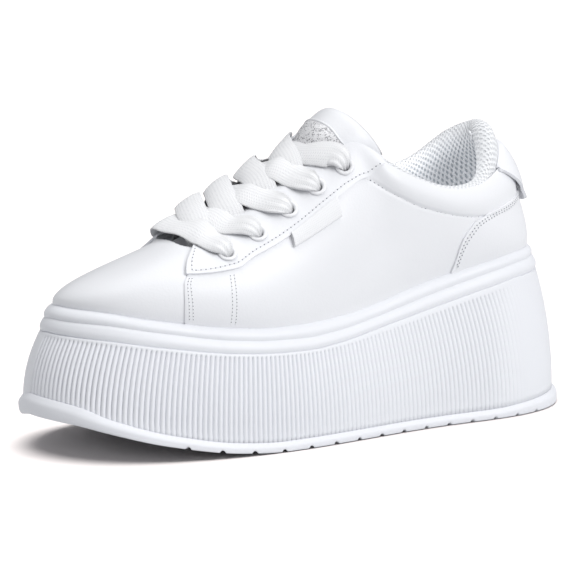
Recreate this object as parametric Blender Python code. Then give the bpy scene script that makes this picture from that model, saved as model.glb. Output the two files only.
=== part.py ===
"""A wedge sneaker, left shoe, built piece by piece from a few named sizes.

Sizes are in millimetres here and become metres when a mesh is made.
X is lateral, -Y is the toe, +Y the heel, +Z up; the floor is z = 0.
"""

import bmesh
import bpy
import numpy as np

MM = 0.001

# ------------------------------------------------------------------ driving sizes
SOLE_LENGTH = 288.0  # toe bumper to heel rim
BALL_WIDTH = 107.0  # rim to rim across the ball
CLEAR = 0.3  # gap left between pieces that meet
CURVE_CLEAR = 0.45  # and between two curved sheets
CENTRE = (1.086, 0.063, 0.0)  # moves the tables' axis so that the finished shoe is centred

RIM_PROUD = 2.4  # rim stands out from the foot of the wall
WALL_LEAN = 8.6  # the wall comes in by this much on its way up
BAND_STEP = 2.4  # each of the two bands sits further in by this much
FEATHER_INSET = 17.4  # rim to the line where the upper meets the sole
SIDE_EASE = 0.20  # insets shrink by this share along the sides
HEEL_EXTRA = 0.24  # and grow by this share at the heel

UPPER_WALL = 2.0  # leather and lining together
OVERLAY = 1.1  # counter and facings
INSOLE_DROP = 8.0  # floor of the cup below the feather line
INSOLE_THICK = 4.0
TONGUE_THICK = 5.0
LACE_THICK = 1.3
LACE_WIDTH = 10.0
LACE_NECK = 3.4  # lace gathered inside an eyelet
EYELET_BORE = 2.6
EYELET_BARREL = 3.2
EYELET_FLANGE = 4.7
FLANGE_THICK = 0.8
TAB_THICK, TAB_SWELL = 1.4, 0.5  # loop label under the lateral facing
TAB_SPAN, TAB_FOLD, TAB_GAP = (2.86, 3.74), 0.588, 0.012  # places round and up the ribs

# ------------------------------------------------------------------ short tables
# Outline of the rim, once round: share of the length from the toe, share of the
# ball width from the axis (lateral is plus).
OUTLINE = (
    ("toe tip", 0.000, -0.085),
    ("lateral toe", 0.018, 0.100),
    ("lateral vamp", 0.072, 0.275),
    ("lateral fore", 0.190, 0.423),
    ("lateral ball", 0.370, 0.488),
    ("lateral waist", 0.560, 0.442),
    ("lateral shank", 0.700, 0.411),
    ("lateral heel", 0.850, 0.400),
    ("lateral corner", 0.953, 0.278),
    ("heel back", 1.000, 0.000),
    ("medial corner", 0.953, -0.280),
    ("medial heel", 0.850, -0.405),
    ("medial shank", 0.690, -0.385),
    ("medial waist", 0.540, -0.408),
    ("medial ball", 0.330, -0.500),
    ("medial fore", 0.160, -0.480),
    ("medial vamp", 0.062, -0.375),
    ("medial toe", 0.0185, -0.250),
)

# Heights up the side of the sole at shares of the length from the toe.
SIDE = (
    # along, underside, rim, ledge, groove, feather
    (0.000, 18.4, 28.8, 54.8, 61.5, 68.4),
    (0.040, 16.8, 26.0, 55.5, 62.2, 68.9),
    (0.080, 13.8, 20.5, 55.0, 62.0, 68.8),
    (0.170, 7.2, 12.5, 51.3, 58.2, 64.8),
    (0.290, 1.4, 6.4, 46.5, 52.6, 59.7),
    (0.370, 0.0, 5.0, 44.8, 50.7, 57.8),
    (0.430, 0.0, 5.0, 44.4, 50.3, 57.9),
    (0.500, 0.0, 5.0, 46.2, 52.0, 59.4),
    (0.570, 0.0, 5.0, 49.9, 55.6, 62.6),
    (0.640, 0.0, 5.0, 53.8, 60.0, 67.8),
    (0.710, 0.0, 5.0, 58.0, 64.9, 72.5),
    (0.800, 0.0, 5.0, 63.7, 70.7, 78.1),
    (0.870, 0.0, 6.0, 67.2, 74.2, 81.3),
    (1.000, 0.0, 8.8, 69.0, 77.0, 84.0),
)
UNDERSIDE, RIM, LEDGE, GROOVE, FEATHER = range(1, 6)
# The toe springs up along an oblique line, so its medial corner stays lower, level by level.
TOE_DROP = (0.0, 2.4, 3.2, 1.6, 2.0, 1.7)

TREAD_COUNT, TREAD_START, TREAD_PITCH = 16, -92.0, 14.0
TREAD_WIDE, TREAD_DEEP = 1.6, 1.5
BOX = ((0, 3, 2, 1), (4, 5, 6, 7), (0, 1, 5, 4), (1, 2, 6, 5), (2, 3, 7, 6), (3, 0, 4, 7))

# The upper, once round: where each rib starts on the feather line (share of one
# turn), where it ends on the topline (x, y, z), and the shape of the rib between
# them: rise and swell of its lower handle, drop and lean of its upper handle.
RIBS = (
    ("throat front", 0.000, 0.0, -73.0, 95.8, 8.5, 2.0, 10.3, 25.0),
    ("lateral throat", 0.086, 13.5, -70.5, 94.3, 11.0, 4.0, 6.5, 19.0),
    ("lateral first eyelet", 0.152, 18.0, -57.0, 96.0, 13.0, 6.0, 5.0, 17.0),
    ("lateral third eyelet", 0.222, 18.5, -22.0, 113.5, 19.0, 5.0, 8.0, 16.0),
    ("lateral top eyelet", 0.277, 20.0, 5.0, 132.0, 27.0, 4.5, 10.0, 14.5),
    ("lateral peak", 0.299, 22.5, 14.5, 138.0, 26.0, 4.5, 14.0, 10.0),
    ("lateral collar front", 0.325, 29.0, 27.0, 132.0, 22.0, 5.0, 17.0, 5.0),
    ("lateral collar", 0.357, 31.6, 43.0, 123.0, 16.0, 5.0, 15.0, 3.8),
    ("lateral dip", 0.392, 31.4, 61.0, 116.3, 13.0, 4.5, 13.0, 3.0),
    ("lateral quarter", 0.421, 28.6, 77.0, 115.4, 12.0, 4.0, 12.0, 3.0),
    ("lateral rear", 0.448, 23.0, 91.0, 119.5, 12.0, 3.0, 12.0, 4.5),
    ("lateral heel", 0.474, 13.5, 101.5, 131.0, 16.0, 0.5, 16.0, 7.0),
    ("heel back", 0.500, 0.0, 106.5, 141.0, 20.0, -1.8, 19.0, 8.5),
    ("medial heel", 0.526, -12.5, 100.5, 137.5, 18.0, 0.5, 17.0, 7.0),
    ("medial rear", 0.552, -22.0, 89.5, 129.5, 14.0, 3.0, 15.0, 4.5),
    ("medial quarter", 0.579, -28.0, 75.5, 121.8, 13.0, 4.0, 13.0, 3.0),
    ("medial dip", 0.608, -31.0, 59.5, 119.5, 14.0, 4.5, 13.0, 3.0),
    ("medial collar", 0.643, -31.6, 42.0, 123.5, 17.0, 5.0, 15.0, 3.8),
    ("medial collar front", 0.675, -29.0, 26.0, 132.5, 23.0, 5.0, 17.0, 5.0),
    ("medial peak", 0.701, -22.5, 13.5, 138.5, 27.0, 4.5, 14.0, 10.0),
    ("medial top eyelet", 0.723, -20.0, 4.0, 132.5, 29.0, 4.5, 10.0, 14.5),
    ("medial third eyelet", 0.778, -18.5, -24.0, 113.5, 20.0, 5.0, 8.0, 16.0),
    ("medial first eyelet", 0.848, -18.0, -60.0, 96.3, 13.0, 5.0, 5.5, 15.0),
    ("medial throat", 0.914, -13.5, -72.5, 94.3, 9.5, 1.5, 10.0, 12.0),
)

# Eyelets of one facing: place round the ribs and up the rib (the other facing mirrors it).
EYELETS = (
    ("first", 2.05, 0.760),
    ("second", 2.52, 0.820),
    ("third", 2.99, 0.850),
    ("fourth", 3.53, 0.860),
    ("top", 4.21, 0.850),
)
# Lower edge of a facing, from its front corner back to the collar.
FACING_EDGE = (
    # round, up the rib
    (1.22, 0.49),
    (2.05, 0.49),
    (2.20, 0.56),
    (2.40, 0.635),
    (2.83, 0.675),
    (3.53, 0.690),
    (5.03, 0.720),
    (6.00, 0.930),
)
# Upper edge of the heel counter, from its front to the middle of the heel.
COUNTER_EDGE = ((7.45, 0.10), (7.58, 0.21), (8.05, 0.39), (8.85, 0.54), (9.64, 0.57), (11.0, 0.50), (12.0, 0.46))
# Lower edge of the folded heel tab, and how far it stands off.
TAB_EDGE = (
    # round, up the rib, stand-off
    (10.55, 0.86, 0.4),
    (10.80, 0.68, 1.2),
    (11.15, 0.47, 2.6),
    (11.50, 0.34, 3.6),
    (12.00, 0.30, 3.8),
)
# Tongue, from under the vamp to its top: y, height, bend radius across, half width.
TONGUE = (
    ("tucked end", -88.0, 85.2, 44.0, 17.0),
    ("vamp edge", -73.0, 91.6, 31.0, 20.0),
    ("first eyelet", -57.0, 98.6, 25.5, 22.5),
    ("second eyelet", -39.0, 107.6, 22.3, 24.0),
    ("third eyelet", -21.0, 119.0, 20.8, 25.0),
    ("fourth eyelet", -4.0, 132.9, 19.8, 26.5),
    ("patch", 5.2, 144.4, 22.0, 28.5),
    ("top", 17.5, 153.6, 22.0, 30.5),
)

# Where on the tongue each strap starts (at its own eyelet) and ends (one eyelet lower).
STRAP_ALONG = ((0.245, 0.0), (0.40, 0.25), (0.56, 0.41), (0.70, 0.565), (0.835, 0.72))
# Height of a strap above the tongue on its way across (1 its own side, -1 the far side):
# the strap to the medial eyelet goes over, the one to the lateral eyelet under.
STRAP_LIFT = (
    # across, over, under
    (0.40, 6.4, 5.0),
    (0.00, 4.6, 2.3),
    (-0.30, 3.2, 1.3),
    (-0.52, 1.4, 0.9),
    (-0.70, 0.4, 0.4),
)
# Height of the straight bar above the tongue.
BAR_LIFT = ((0.45, 6.6), (0.0, 8.0), (-0.45, 6.6))


# ------------------------------------------------------------------ smooth curves
def smooth(x, knots, values):
    """Smooth curve through a table that never overshoots its rows."""
    knots, values = np.asarray(knots, float), np.asarray(values, float)
    x = np.clip(np.asarray(x, float), knots[0], knots[-1])
    gap = np.diff(knots)
    rise = np.diff(values) / gap
    slope = np.zeros(len(knots))
    slope[0], slope[-1] = rise[0], rise[-1]
    before, after = rise[:-1], rise[1:]
    same = before * after > 0
    mean = np.zeros(len(before))
    mean[same] = 2.0 * before[same] * after[same] / (before[same] + after[same])
    slope[1:-1] = mean
    i = np.clip(np.searchsorted(knots, x, side="right") - 1, 0, len(gap) - 1)
    t = (x - knots[i]) / gap[i]
    return (
        values[i] * (1 + 2 * t) * (1 - t) ** 2
        + slope[i] * gap[i] * t * (1 - t) ** 2
        + values[i + 1] * t * t * (3 - 2 * t)
        + slope[i + 1] * gap[i] * t * t * (t - 1)
    )


def closed_curve(rows, gap, where):
    """Smooth closed curve through rows; where runs 0..number of rows."""
    rows = np.asarray(rows, float)
    n = len(rows)
    matrix, right = np.zeros((n, n)), np.zeros_like(rows)
    for i in range(n):
        a, b = gap[i - 1], gap[i]
        matrix[i, i - 1] += 1 / a
        matrix[i, i] += 2 * (1 / a + 1 / b)
        matrix[i, (i + 1) % n] += 1 / b
        right[i] = 3 * ((rows[i] - rows[i - 1]) / a**2 + (rows[(i + 1) % n] - rows[i]) / b**2)
    slope = np.linalg.solve(matrix, right)
    i = np.floor(where).astype(int) % n
    t = (where - np.floor(where))[:, None]
    h, j = np.asarray(gap)[i][:, None], (i + 1) % n
    return (
        rows[i] * (1 + 2 * t) * (1 - t) ** 2
        + slope[i] * h * t * (1 - t) ** 2
        + rows[j] * t * t * (3 - 2 * t)
        + slope[j] * h * t * t * (t - 1)
    )


def lengths(points):
    """Length of each side of a closed polygon."""
    return np.linalg.norm(np.roll(points, -1, axis=0) - points, axis=1)


# ------------------------------------------------------------------ the sole
def height(level, y):
    """Height of one of the SIDE levels at y."""
    along = [row[0] for row in SIDE]
    return smooth(np.asarray(y) / SOLE_LENGTH + 0.5, along, [row[level] for row in SIDE])


def outline(inset, turn):
    """Points of the sole's outline, moved in by inset, at shares of one turn from the toe."""
    rows = np.array([(across * BALL_WIDTH, (along - 0.5) * SOLE_LENGTH) for _, along, across in OUTLINE])
    fine = closed_curve(rows, lengths(rows), np.linspace(0, len(rows), 1441)[:-1])
    tangent = np.roll(fine, -1, axis=0) - np.roll(fine, 1, axis=0)
    out = np.stack([tangent[:, 1], -tangent[:, 0]], axis=1)
    out /= np.linalg.norm(out, axis=1)[:, None]
    share = 1 - SIDE_EASE * out[:, 0] ** 2 + HEEL_EXTRA * np.clip(out[:, 1], 0, 1) ** 2
    fine = fine - out * (inset * share)[:, None]
    walked = np.concatenate([[0], np.cumsum(lengths(fine))])
    at = (np.asarray(turn) % 1.0) * walked[-1]
    closed, closed_out = np.vstack([fine, fine[:1]]), np.vstack([out, out[:1]])
    spot = np.stack([np.interp(at, walked, closed[:, k]) for k in (0, 1)], axis=1)
    face = np.stack([np.interp(at, walked, closed_out[:, k]) for k in (0, 1)], axis=1)
    return spot, face / np.linalg.norm(face, axis=1)[:, None]


def level_at(level, spot):
    """Height of a level at points (x, y): the table, less the drop of the medial toe."""
    inward = np.clip((-spot[:, 0] - 5.0) / 17.0, 0, 1)
    ahead = np.clip((-spot[:, 1] - 70.0) / 68.0, 0, 1)
    drop = TOE_DROP[level] * inward**2 * (3 - 2 * inward) * ahead**2 * (3 - 2 * ahead)
    return height(level, spot[:, 1]) - drop


def sole_ring(inset, level, lift, turn):
    """One ring round the sole: the outline moved in, at a height of the SIDE table."""
    spot, _ = outline(inset, turn)
    return np.column_stack([spot, level_at(level, spot) + lift])


# ------------------------------------------------------------------ the upper
def upper_rows(where):
    """Feather point, its outward direction, topline point and handles at where (0..ribs)."""
    table = np.array([row[1:] for row in RIBS])
    top = table[:, 1:4]
    feather, _ = outline(FEATHER_INSET, table[:, 0])
    gap = 0.5 * lengths(top) + 0.5 * lengths(feather)
    even = np.concatenate([[0], np.cumsum(gap)])[:-1] / gap.sum()
    data = np.column_stack([table[:, 0] - even, table[:, 1:]])
    got = closed_curve(data, gap, where)
    i = np.floor(where).astype(int) % len(RIBS)
    turn = got[:, 0] + even[i] + (where - np.floor(where)) * gap[i] / gap.sum()
    spot, face = outline(FEATHER_INSET, turn)
    return spot, face, got[:, 1:4], got[:, 4:8]


def upper_point(where, rise, off=0.0):
    """Point of the upper at where (round) and rise (0 feather .. 1 topline), moved out by off."""
    where, rise = np.broadcast_arrays(np.asarray(where, float), np.asarray(rise, float))

    def skin(u, v):
        spot, face, top, hand = upper_rows(u.ravel() % len(RIBS))
        v = v.ravel()[:, None]
        up, out = np.array([0.0, 0.0, 1.0]), np.column_stack([face, np.zeros(len(face))])
        foot = np.column_stack([spot, level_at(FEATHER, spot) - 0.5])
        low = foot + up * hand[:, :1] + out * hand[:, 1:2]
        high = top - up * hand[:, 2:3] + out * hand[:, 3:4]
        return (
            foot * (1 - v) ** 3 + low * 3 * v * (1 - v) ** 2 + high * 3 * v * v * (1 - v) + top * v**3
        ).reshape(u.shape + (3,))

    point = skin(where, rise)
    if not np.any(off):
        return point
    step = 1e-3
    along = skin(where + step, rise) - skin(where - step, rise)
    across = skin(where, rise + step) - skin(where, rise - step)
    face = np.cross(along, across)
    face /= np.linalg.norm(face, axis=-1)[..., None]
    return point + face * np.asarray(off)[..., None] if np.ndim(off) else point + face * off


# ------------------------------------------------------------------ the tongue
def tongue_point(along, across, off=0.0):
    """Point of the tongue's outer face: along 0..1 from the tucked end, across -1..1."""
    along, across = np.broadcast_arrays(np.asarray(along, float), np.asarray(across, float))
    rows = np.array([row[1:] for row in TONGUE])
    walked = np.concatenate([[0], np.cumsum(np.hypot(*np.diff(rows[:, :2], axis=0).T))])
    # the top corners are rounded off
    at = (along - 0.055 * along * across**4) * walked[-1]
    y, z = smooth(at, walked, rows[:, 0]), smooth(at, walked, rows[:, 1])
    dy, dz = smooth(at + 0.5, walked, rows[:, 0]) - smooth(at - 0.5, walked, rows[:, 0]), 0.0
    dz = smooth(at + 0.5, walked, rows[:, 1]) - smooth(at - 0.5, walked, rows[:, 1])
    size = np.hypot(dy, dz)
    ny, nz = -dz / size, dy / size
    bend = smooth(at, walked, rows[:, 2])
    angle = across * smooth(at, walked, rows[:, 3]) / bend
    radius = bend + off
    fall = bend - radius * np.cos(angle)
    return np.stack([radius * np.sin(angle), y - ny * fall, z - nz * fall], axis=-1)


def tongue_face(along, across):
    """Outward direction of the tongue."""
    step = tongue_point(along, across, 1.0) - tongue_point(along, across)
    return step / np.linalg.norm(step, axis=-1)[..., None]


# ------------------------------------------------------------------ lacing
def upper_face(where, rise):
    """Outward direction of the upper."""
    step = upper_point(where, rise, 1.0) - upper_point(where, rise)
    return step / np.linalg.norm(step, axis=-1)[..., None]


def mirrored(where, side):
    """Place round the ribs on the lateral (side 1) or medial (side -1) half."""
    return where if side > 0 else len(RIBS) - where


def eyelet(k, side):
    """Middle of an eyelet on the facing's outer face, and its axis."""
    where, rise = mirrored(EYELETS[k][1], side), EYELETS[k][2]
    axis = upper_face(where, rise)
    return upper_point(where, rise) + axis * (CURVE_CLEAR + OVERLAY), axis


def climb(k, side):
    """Knots of a strap coming up through eyelet k and over the edge of its facing.
    Each knot is a point, an outward direction and a width."""
    middle, axis = eyelet(k, side)
    where, rise = mirrored(EYELETS[k][1], side), EYELETS[k][2]
    ride = CURVE_CLEAR + OVERLAY + LACE_THICK / 2 + 0.9
    ahead = upper_point(where, 0.99) - middle
    ahead -= axis * (ahead @ axis)
    ahead /= np.linalg.norm(ahead)
    knots = [
        (middle - axis * 0.9, -ahead, LACE_NECK),
        (middle + axis * 1.8 + ahead * 0.3, axis * 0.6 - ahead * 0.8, LACE_NECK),
        (middle + axis * 3.2 + ahead * 3.2, axis, LACE_NECK * 1.7),
    ]
    for share, width in ((0.68, 0.85), (1.0, 1.0)):
        at = rise + (0.99 - rise) * share
        face = upper_face(where, min(at, 0.97))
        knots.append((upper_point(where, at) + face * ride, face, LACE_WIDTH * width))
    return knots


def over_tongue(along, across, lift, width):
    """Knot of a strap where it passes over the tongue."""
    point = tongue_point(along, across, lift + LACE_THICK / 2)
    return point, tongue_face(along, across), width


def strap_knots(k, side):
    """Knots of one strap: out of eyelet k, across, and under the other facing."""
    start, stop = STRAP_ALONG[k]
    knots = climb(k, side)
    for across, over, under in STRAP_LIFT:
        along = start + (stop - start) * (0.76 - across) / 1.52
        width = LACE_WIDTH * (0.82 if across < -0.6 else 1.0)
        knots.append(over_tongue(along, side * across, over if side < 0 else under, width))
    return knots


def bar_knots():
    """Knots of the straight bar between the two lowest eyelets."""
    middle = [over_tongue(STRAP_ALONG[0][0], across, lift, LACE_WIDTH) for across, lift in BAR_LIFT]
    return climb(0, 1) + middle + climb(0, -1)[::-1]


def ribbon(knots):
    """Rectangular section swept through knots, as a closed solid: two steps to a knot."""
    spots = np.array([k[0] for k in knots])
    walked = np.concatenate([[0], np.cumsum(np.linalg.norm(np.diff(spots, axis=0), axis=1))])
    steps = 2 * len(knots) - 1
    at = np.interp(np.arange(steps) / 2, np.arange(len(knots)), walked)
    path = np.stack([natural(at, walked, spots[:, c]) for c in range(3)], axis=1)
    face = np.stack([natural(at, walked, [k[1][c] for k in knots]) for c in range(3)], axis=1)
    width = smooth(at, walked, [k[2] for k in knots])
    run = np.gradient(path, axis=0)
    run /= np.linalg.norm(run, axis=1)[:, None]
    wide = np.cross(face, run)
    wide /= np.linalg.norm(wide, axis=1)[:, None]
    face = np.cross(run, wide)
    rings = []
    for a, b in ((-0.5, -0.5), (0.5, -0.5), (0.5, 0.5), (-0.5, 0.5)):
        rings.append(path + wide * (a * width)[:, None] + face * (b * LACE_THICK))
    grid = np.stack(rings, axis=1)
    faces = band_faces(steps, 4, True) + [(3, 2, 1, 0), tuple(4 * (steps - 1) + k for k in range(4))]
    return grid.reshape(-1, 3), faces


def natural(x, knots, values):
    """Smooth curve through knots with free ends."""
    knots, values = np.asarray(knots, float), np.asarray(values, float)
    gap, n = np.diff(knots), len(knots)
    matrix, right = np.zeros((n, n)), np.zeros(n)
    rise = np.diff(values) / gap
    matrix[0, 0], matrix[0, 1], right[0] = 2, 1, 3 * rise[0]
    matrix[-1, -1], matrix[-1, -2], right[-1] = 2, 1, 3 * rise[-1]
    for i in range(1, n - 1):
        matrix[i, i - 1], matrix[i, i + 1] = 1 / gap[i - 1], 1 / gap[i]
        matrix[i, i] = 2 * (1 / gap[i - 1] + 1 / gap[i])
        right[i] = 3 * (rise[i - 1] / gap[i - 1] + rise[i] / gap[i])
    slope = np.linalg.solve(matrix, right)
    i = np.clip(np.searchsorted(knots, x, side="right") - 1, 0, n - 2)
    t, h = (x - knots[i]) / gap[i], gap[i]
    return (
        values[i] * (1 + 2 * t) * (1 - t) ** 2
        + slope[i] * h * t * (1 - t) ** 2
        + values[i + 1] * t * t * (3 - 2 * t)
        + slope[i + 1] * h * t * t * (t - 1)
    )


# ------------------------------------------------------------------ meshes
def make(name, points, faces, colour, finish=(0.5, 0.0)):
    """One node: a mesh object in metres with its own material, faces outwards."""
    mesh = bpy.data.meshes.new(name)
    mesh.from_pydata([tuple(p * MM) for p in np.asarray(points, float) + CENTRE], [], faces)
    work = bmesh.new()
    work.from_mesh(mesh)
    bmesh.ops.remove_doubles(work, verts=work.verts, dist=2e-6)
    bmesh.ops.recalc_face_normals(work, faces=work.faces)
    work.to_mesh(mesh)
    work.free()
    item = bpy.data.objects.new(name, mesh)
    material = bpy.data.materials.new(name)
    material.use_nodes = True
    shader = material.node_tree.nodes["Principled BSDF"]
    shader.inputs["Base Color"].default_value = (*colour, 1.0)
    shader.inputs["Roughness"].default_value = finish[0]
    shader.inputs["Metallic"].default_value = finish[1]
    mesh.materials.append(material)
    bpy.data.collections["wedge_sneaker"].objects.link(item)
    return item


def band_faces(rows, columns, closed):
    """Quads between consecutive rings of a grid."""
    last = columns if closed else columns - 1
    return [
        (r * columns + c, r * columns + (c + 1) % columns, (r + 1) * columns + (c + 1) % columns, (r + 1) * columns + c)
        for r in range(rows - 1)
        for c in range(last)
    ]


def ladder(start, count, flip=False):
    """Close a ring by rungs across it: point k is joined to point count - k."""
    faces = [(start, start + 1, start + count - 1)]
    for k in range(1, count // 2 - 1):
        faces.append((start + k, start + k + 1, start + count - k - 1, start + count - k))
    k = count // 2
    faces.append((start + k - 1, start + k, start + k + 1))
    return [face[::-1] for face in faces] if flip else faces


def stacked(rings):
    """Closed solid from rings: sides between them and a ladder at each end."""
    count = len(rings[0])
    faces = band_faces(len(rings), count, True)
    faces += ladder(0, count, True) + ladder((len(rings) - 1) * count, count)
    return np.vstack(rings), faces


def slab(outer, inner, closed):
    """Closed solid between two grids of the same size (rows x columns x 3)."""
    rows, columns = outer.shape[:2]
    size = rows * columns
    sheet = band_faces(rows, columns, closed)
    faces = sheet + [tuple(k + size for k in face[::-1]) for face in sheet]
    for r, flip in ((0, False), (rows - 1, True)):
        for c in range(columns if closed else columns - 1):
            a, b = r * columns + c, r * columns + (c + 1) % columns
            face = (a, a + size, b + size, b)
            faces.append(face[::-1] if flip else face)
    if not closed:
        for c, flip in ((0, True), (columns - 1, False)):
            for r in range(rows - 1):
                a, b = r * columns + c, (r + 1) * columns + c
                face = (a, a + size, b + size, b)
                faces.append(face[::-1] if flip else face)
    return np.vstack([outer.reshape(-1, 3), inner.reshape(-1, 3)]), faces


def combine(item, points, faces, name, operation):
    """Cut a hidden solid out of item, or join it on."""
    tool = make(name, points, faces, (0.5, 0.5, 0.5))
    bpy.data.collections["wedge_sneaker"].objects.unlink(tool)
    bpy.data.collections["cutters"].objects.link(tool)
    tool.hide_render, tool.display_type = True, "WIRE"
    change = item.modifiers.new(name, "BOOLEAN")
    change.operation, change.solver, change.object = operation, "EXACT", tool


def cut(item, points, faces, name):
    combine(item, points, faces, name, "DIFFERENCE")


def join(item, points, faces, name):
    combine(item, points, faces, name, "UNION")


# ------------------------------------------------------------------ the pieces
RUBBER, FOAM, LEATHER = (0.86, 0.87, 0.88), (0.88, 0.89, 0.90), (0.89, 0.90, 0.92)
CLOTH = (0.85, 0.86, 0.88)
AROUND = np.arange(66) / 66.0
ROUND = 10
COLUMNS = 64


def sole_pieces():
    """The outsole with its cross grooves, the ribbed wedge above it, and the insole."""
    rings = [
        sole_ring(1.6, UNDERSIDE, 0.0, AROUND),
        sole_ring(0.0, UNDERSIDE, 1.6, AROUND),
        sole_ring(0.0, RIM, -1.2, AROUND),
        sole_ring(0.8, RIM, 0.0, AROUND),
    ]
    outsole = make("outsole", *stacked(rings), RUBBER, (0.55, 0.0))
    points, faces = [], []
    for k in range(TREAD_COUNT):
        y = TREAD_START + k * TREAD_PITCH
        low, half = float(height(UNDERSIDE, y)), TREAD_WIDE / 2
        base = len(points)
        for z in (low - 3.0, low + TREAD_DEEP):
            points += [(x, y + dy, z) for x, dy in ((-70, -half), (70, -half), (70, half), (-70, half))]
        faces += [tuple(base + k for k in face) for face in BOX]
    cut(outsole, points, faces, "tread_cutter")

    foot, top = RIM_PROUD, RIM_PROUD + WALL_LEAN
    rings = []
    for share in (0.0, 0.35, 0.7, 1.0):
        low = sole_ring(foot + WALL_LEAN * share**2, RIM, 2 * CURVE_CLEAR, AROUND)
        high = sole_ring(foot + WALL_LEAN * share**2, LEDGE, 0.0, AROUND)
        rings.append(low * (1 - share) + high * share)
    for inset, level, lift in (
        (top + 0.1, LEDGE, 0.8),
        (top, LEDGE, 3.2),
        (top + 0.9, GROOVE, -1.2),
        (top + BAND_STEP, GROOVE, 0.0),
        (top + BAND_STEP - 0.2, GROOVE, 1.0),
        (top + BAND_STEP + 0.2, GROOVE, 3.6),
        (top + BAND_STEP + 1.8, FEATHER, -1.8),
        (FEATHER_INSET - 1.6, FEATHER, -1.0),
        (FEATHER_INSET + UPPER_WALL + 0.8, FEATHER, -1.0),
        (FEATHER_INSET + UPPER_WALL + 1.0, FEATHER, -INSOLE_DROP),
    ):
        rings.append(sole_ring(inset, level, lift, AROUND))
    make("midsole", *stacked(rings), FOAM, (0.5, 0.0))

    lift, edge = CURVE_CLEAR - INSOLE_DROP, FEATHER_INSET + UPPER_WALL + 1.9
    rings = [
        sole_ring(edge + 0.4, FEATHER, lift, AROUND),
        sole_ring(edge, FEATHER, lift + 1.0, AROUND),
        sole_ring(edge, FEATHER, lift + INSOLE_THICK - 1.2, AROUND),
        sole_ring(edge + 1.2, FEATHER, lift + INSOLE_THICK, AROUND),
    ]
    make("insole", *stacked(rings), CLOTH, (0.9, 0.0))


def columns(start, stop):
    """Places round the ribs from start to stop, on the upper's own columns between them."""
    step = len(RIBS) / COLUMNS
    inside = np.arange(np.ceil(start / step + 0.3), np.floor(stop / step - 0.3) + 1) * step
    return np.concatenate([[start], inside, [stop]])


def upper_piece():
    """The hollow upper: the ribs' surface, thickened inwards, with holes for the eyelets."""
    where = np.arange(COLUMNS) * len(RIBS) / COLUMNS
    u, v = np.meshgrid(where, np.linspace(0.0, 1.0, 10))
    upper = make("upper", *slab(upper_point(u, v), upper_point(u, v, -UPPER_WALL), True), LEATHER, (0.42, 0.0))
    cut(upper, *posts(EYELET_BARREL + CLEAR, -6.0, 3.0), "eyelet_cutter")


def posts(radius, low, high):
    """Round posts through every eyelet, as one list of points and faces."""
    points, faces = [], []
    for side in (1, -1):
        for k in range(len(EYELETS)):
            start = len(points)
            ring, _ = spun(k, side, ((radius, low), (radius, high)))
            points += list(ring)
            n = ROUND
            faces += [tuple(start + i for i in face) for face in band_faces(2, n, True)]
            faces += [tuple(start + i for i in range(n))[::-1], tuple(start + n + i for i in range(n))]
    return np.array(points), faces


def spun(k, side, profile):
    """Profile (radius, height) turned about an eyelet's axis."""
    middle, axis = eyelet(k, side)
    first = np.cross(axis, [0.0, 1.0, 0.0])
    first /= np.linalg.norm(first)
    second = np.cross(axis, first)
    turn = np.arange(ROUND) * 2 * np.pi / ROUND
    ring = np.cos(turn)[:, None] * first + np.sin(turn)[:, None] * second
    points = np.vstack([middle + ring * radius + axis * up for radius, up in profile])
    return points, band_faces(len(profile), ROUND, True)


def facing_grid(side, low, high, rows, columns):
    """Grid over one facing; low and high are offsets from the upper."""
    across, along = np.meshgrid(np.linspace(0, 1, columns), np.linspace(0, 1, rows))
    front = FACING_EDGE[0][0] + 0.10 * np.sin(np.pi * along) * -1 + 0.10 * along**3
    where = front + (FACING_EDGE[-1][0] - front) * across
    edge = smooth(where, [row[0] for row in FACING_EDGE], [row[1] for row in FACING_EDGE])
    rise = edge + (0.995 - edge) * along
    u = mirrored(where, side)
    return upper_point(u, rise, high), upper_point(u, rise, low)


def overlays():
    """Facings, heel counter, heel tab and the label loop."""
    for side, name in ((1, "facing_lateral"), (-1, "facing_medial")):
        outer, inner = facing_grid(side, CURVE_CLEAR, CURVE_CLEAR + OVERLAY, 4, 15)
        if side < 0:
            outer, inner = outer[:, ::-1], inner[:, ::-1]
        item = make(name, *slab(outer, inner, False), LEATHER, (0.42, 0.0))
        cut(item, *posts(EYELET_BARREL + CLEAR, -6.0, 3.0), f"{name}_cutter")

    half = columns(COUNTER_EDGE[0][0], 12.0)
    edge = smooth(half, [row[0] for row in COUNTER_EDGE], [row[1] for row in COUNTER_EDGE])
    where = np.concatenate([half, len(RIBS) - half[-2::-1]])
    top = np.concatenate([edge, edge[-2::-1]])
    u, share = np.meshgrid(where, np.linspace(0, 1, 5))
    rise = 0.01 + (top[None, :] - 0.01) * share
    grid = slab(upper_point(u, rise, CURVE_CLEAR + OVERLAY), upper_point(u, rise, CURVE_CLEAR), False)
    make("heel_counter", *grid, LEATHER, (0.42, 0.0))

    half = np.array([row[0] for row in TAB_EDGE])
    where = np.concatenate([half, len(RIBS) - half[-2::-1]])
    low = np.concatenate([[row[1] for row in TAB_EDGE], [row[1] for row in TAB_EDGE][-2::-1]])
    off = np.concatenate([[row[2] for row in TAB_EDGE], [row[2] for row in TAB_EDGE][-2::-1]])
    fine = np.linspace(0, len(where) - 1, 13)
    where, low, off = (smooth(fine, np.arange(len(where)), v) for v in (where, low, off))
    u, share = np.meshgrid(where, np.linspace(0, 1, 5))
    rise = low[None, :] + (1.0 - low[None, :]) * share
    stand = CURVE_CLEAR + off[None, :] * (1 - share) ** 1.2
    grid = slab(upper_point(u, rise, stand + OVERLAY), upper_point(u, rise, stand), False)
    make("heel_tab", *grid, LEATHER, (0.42, 0.0))


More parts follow.
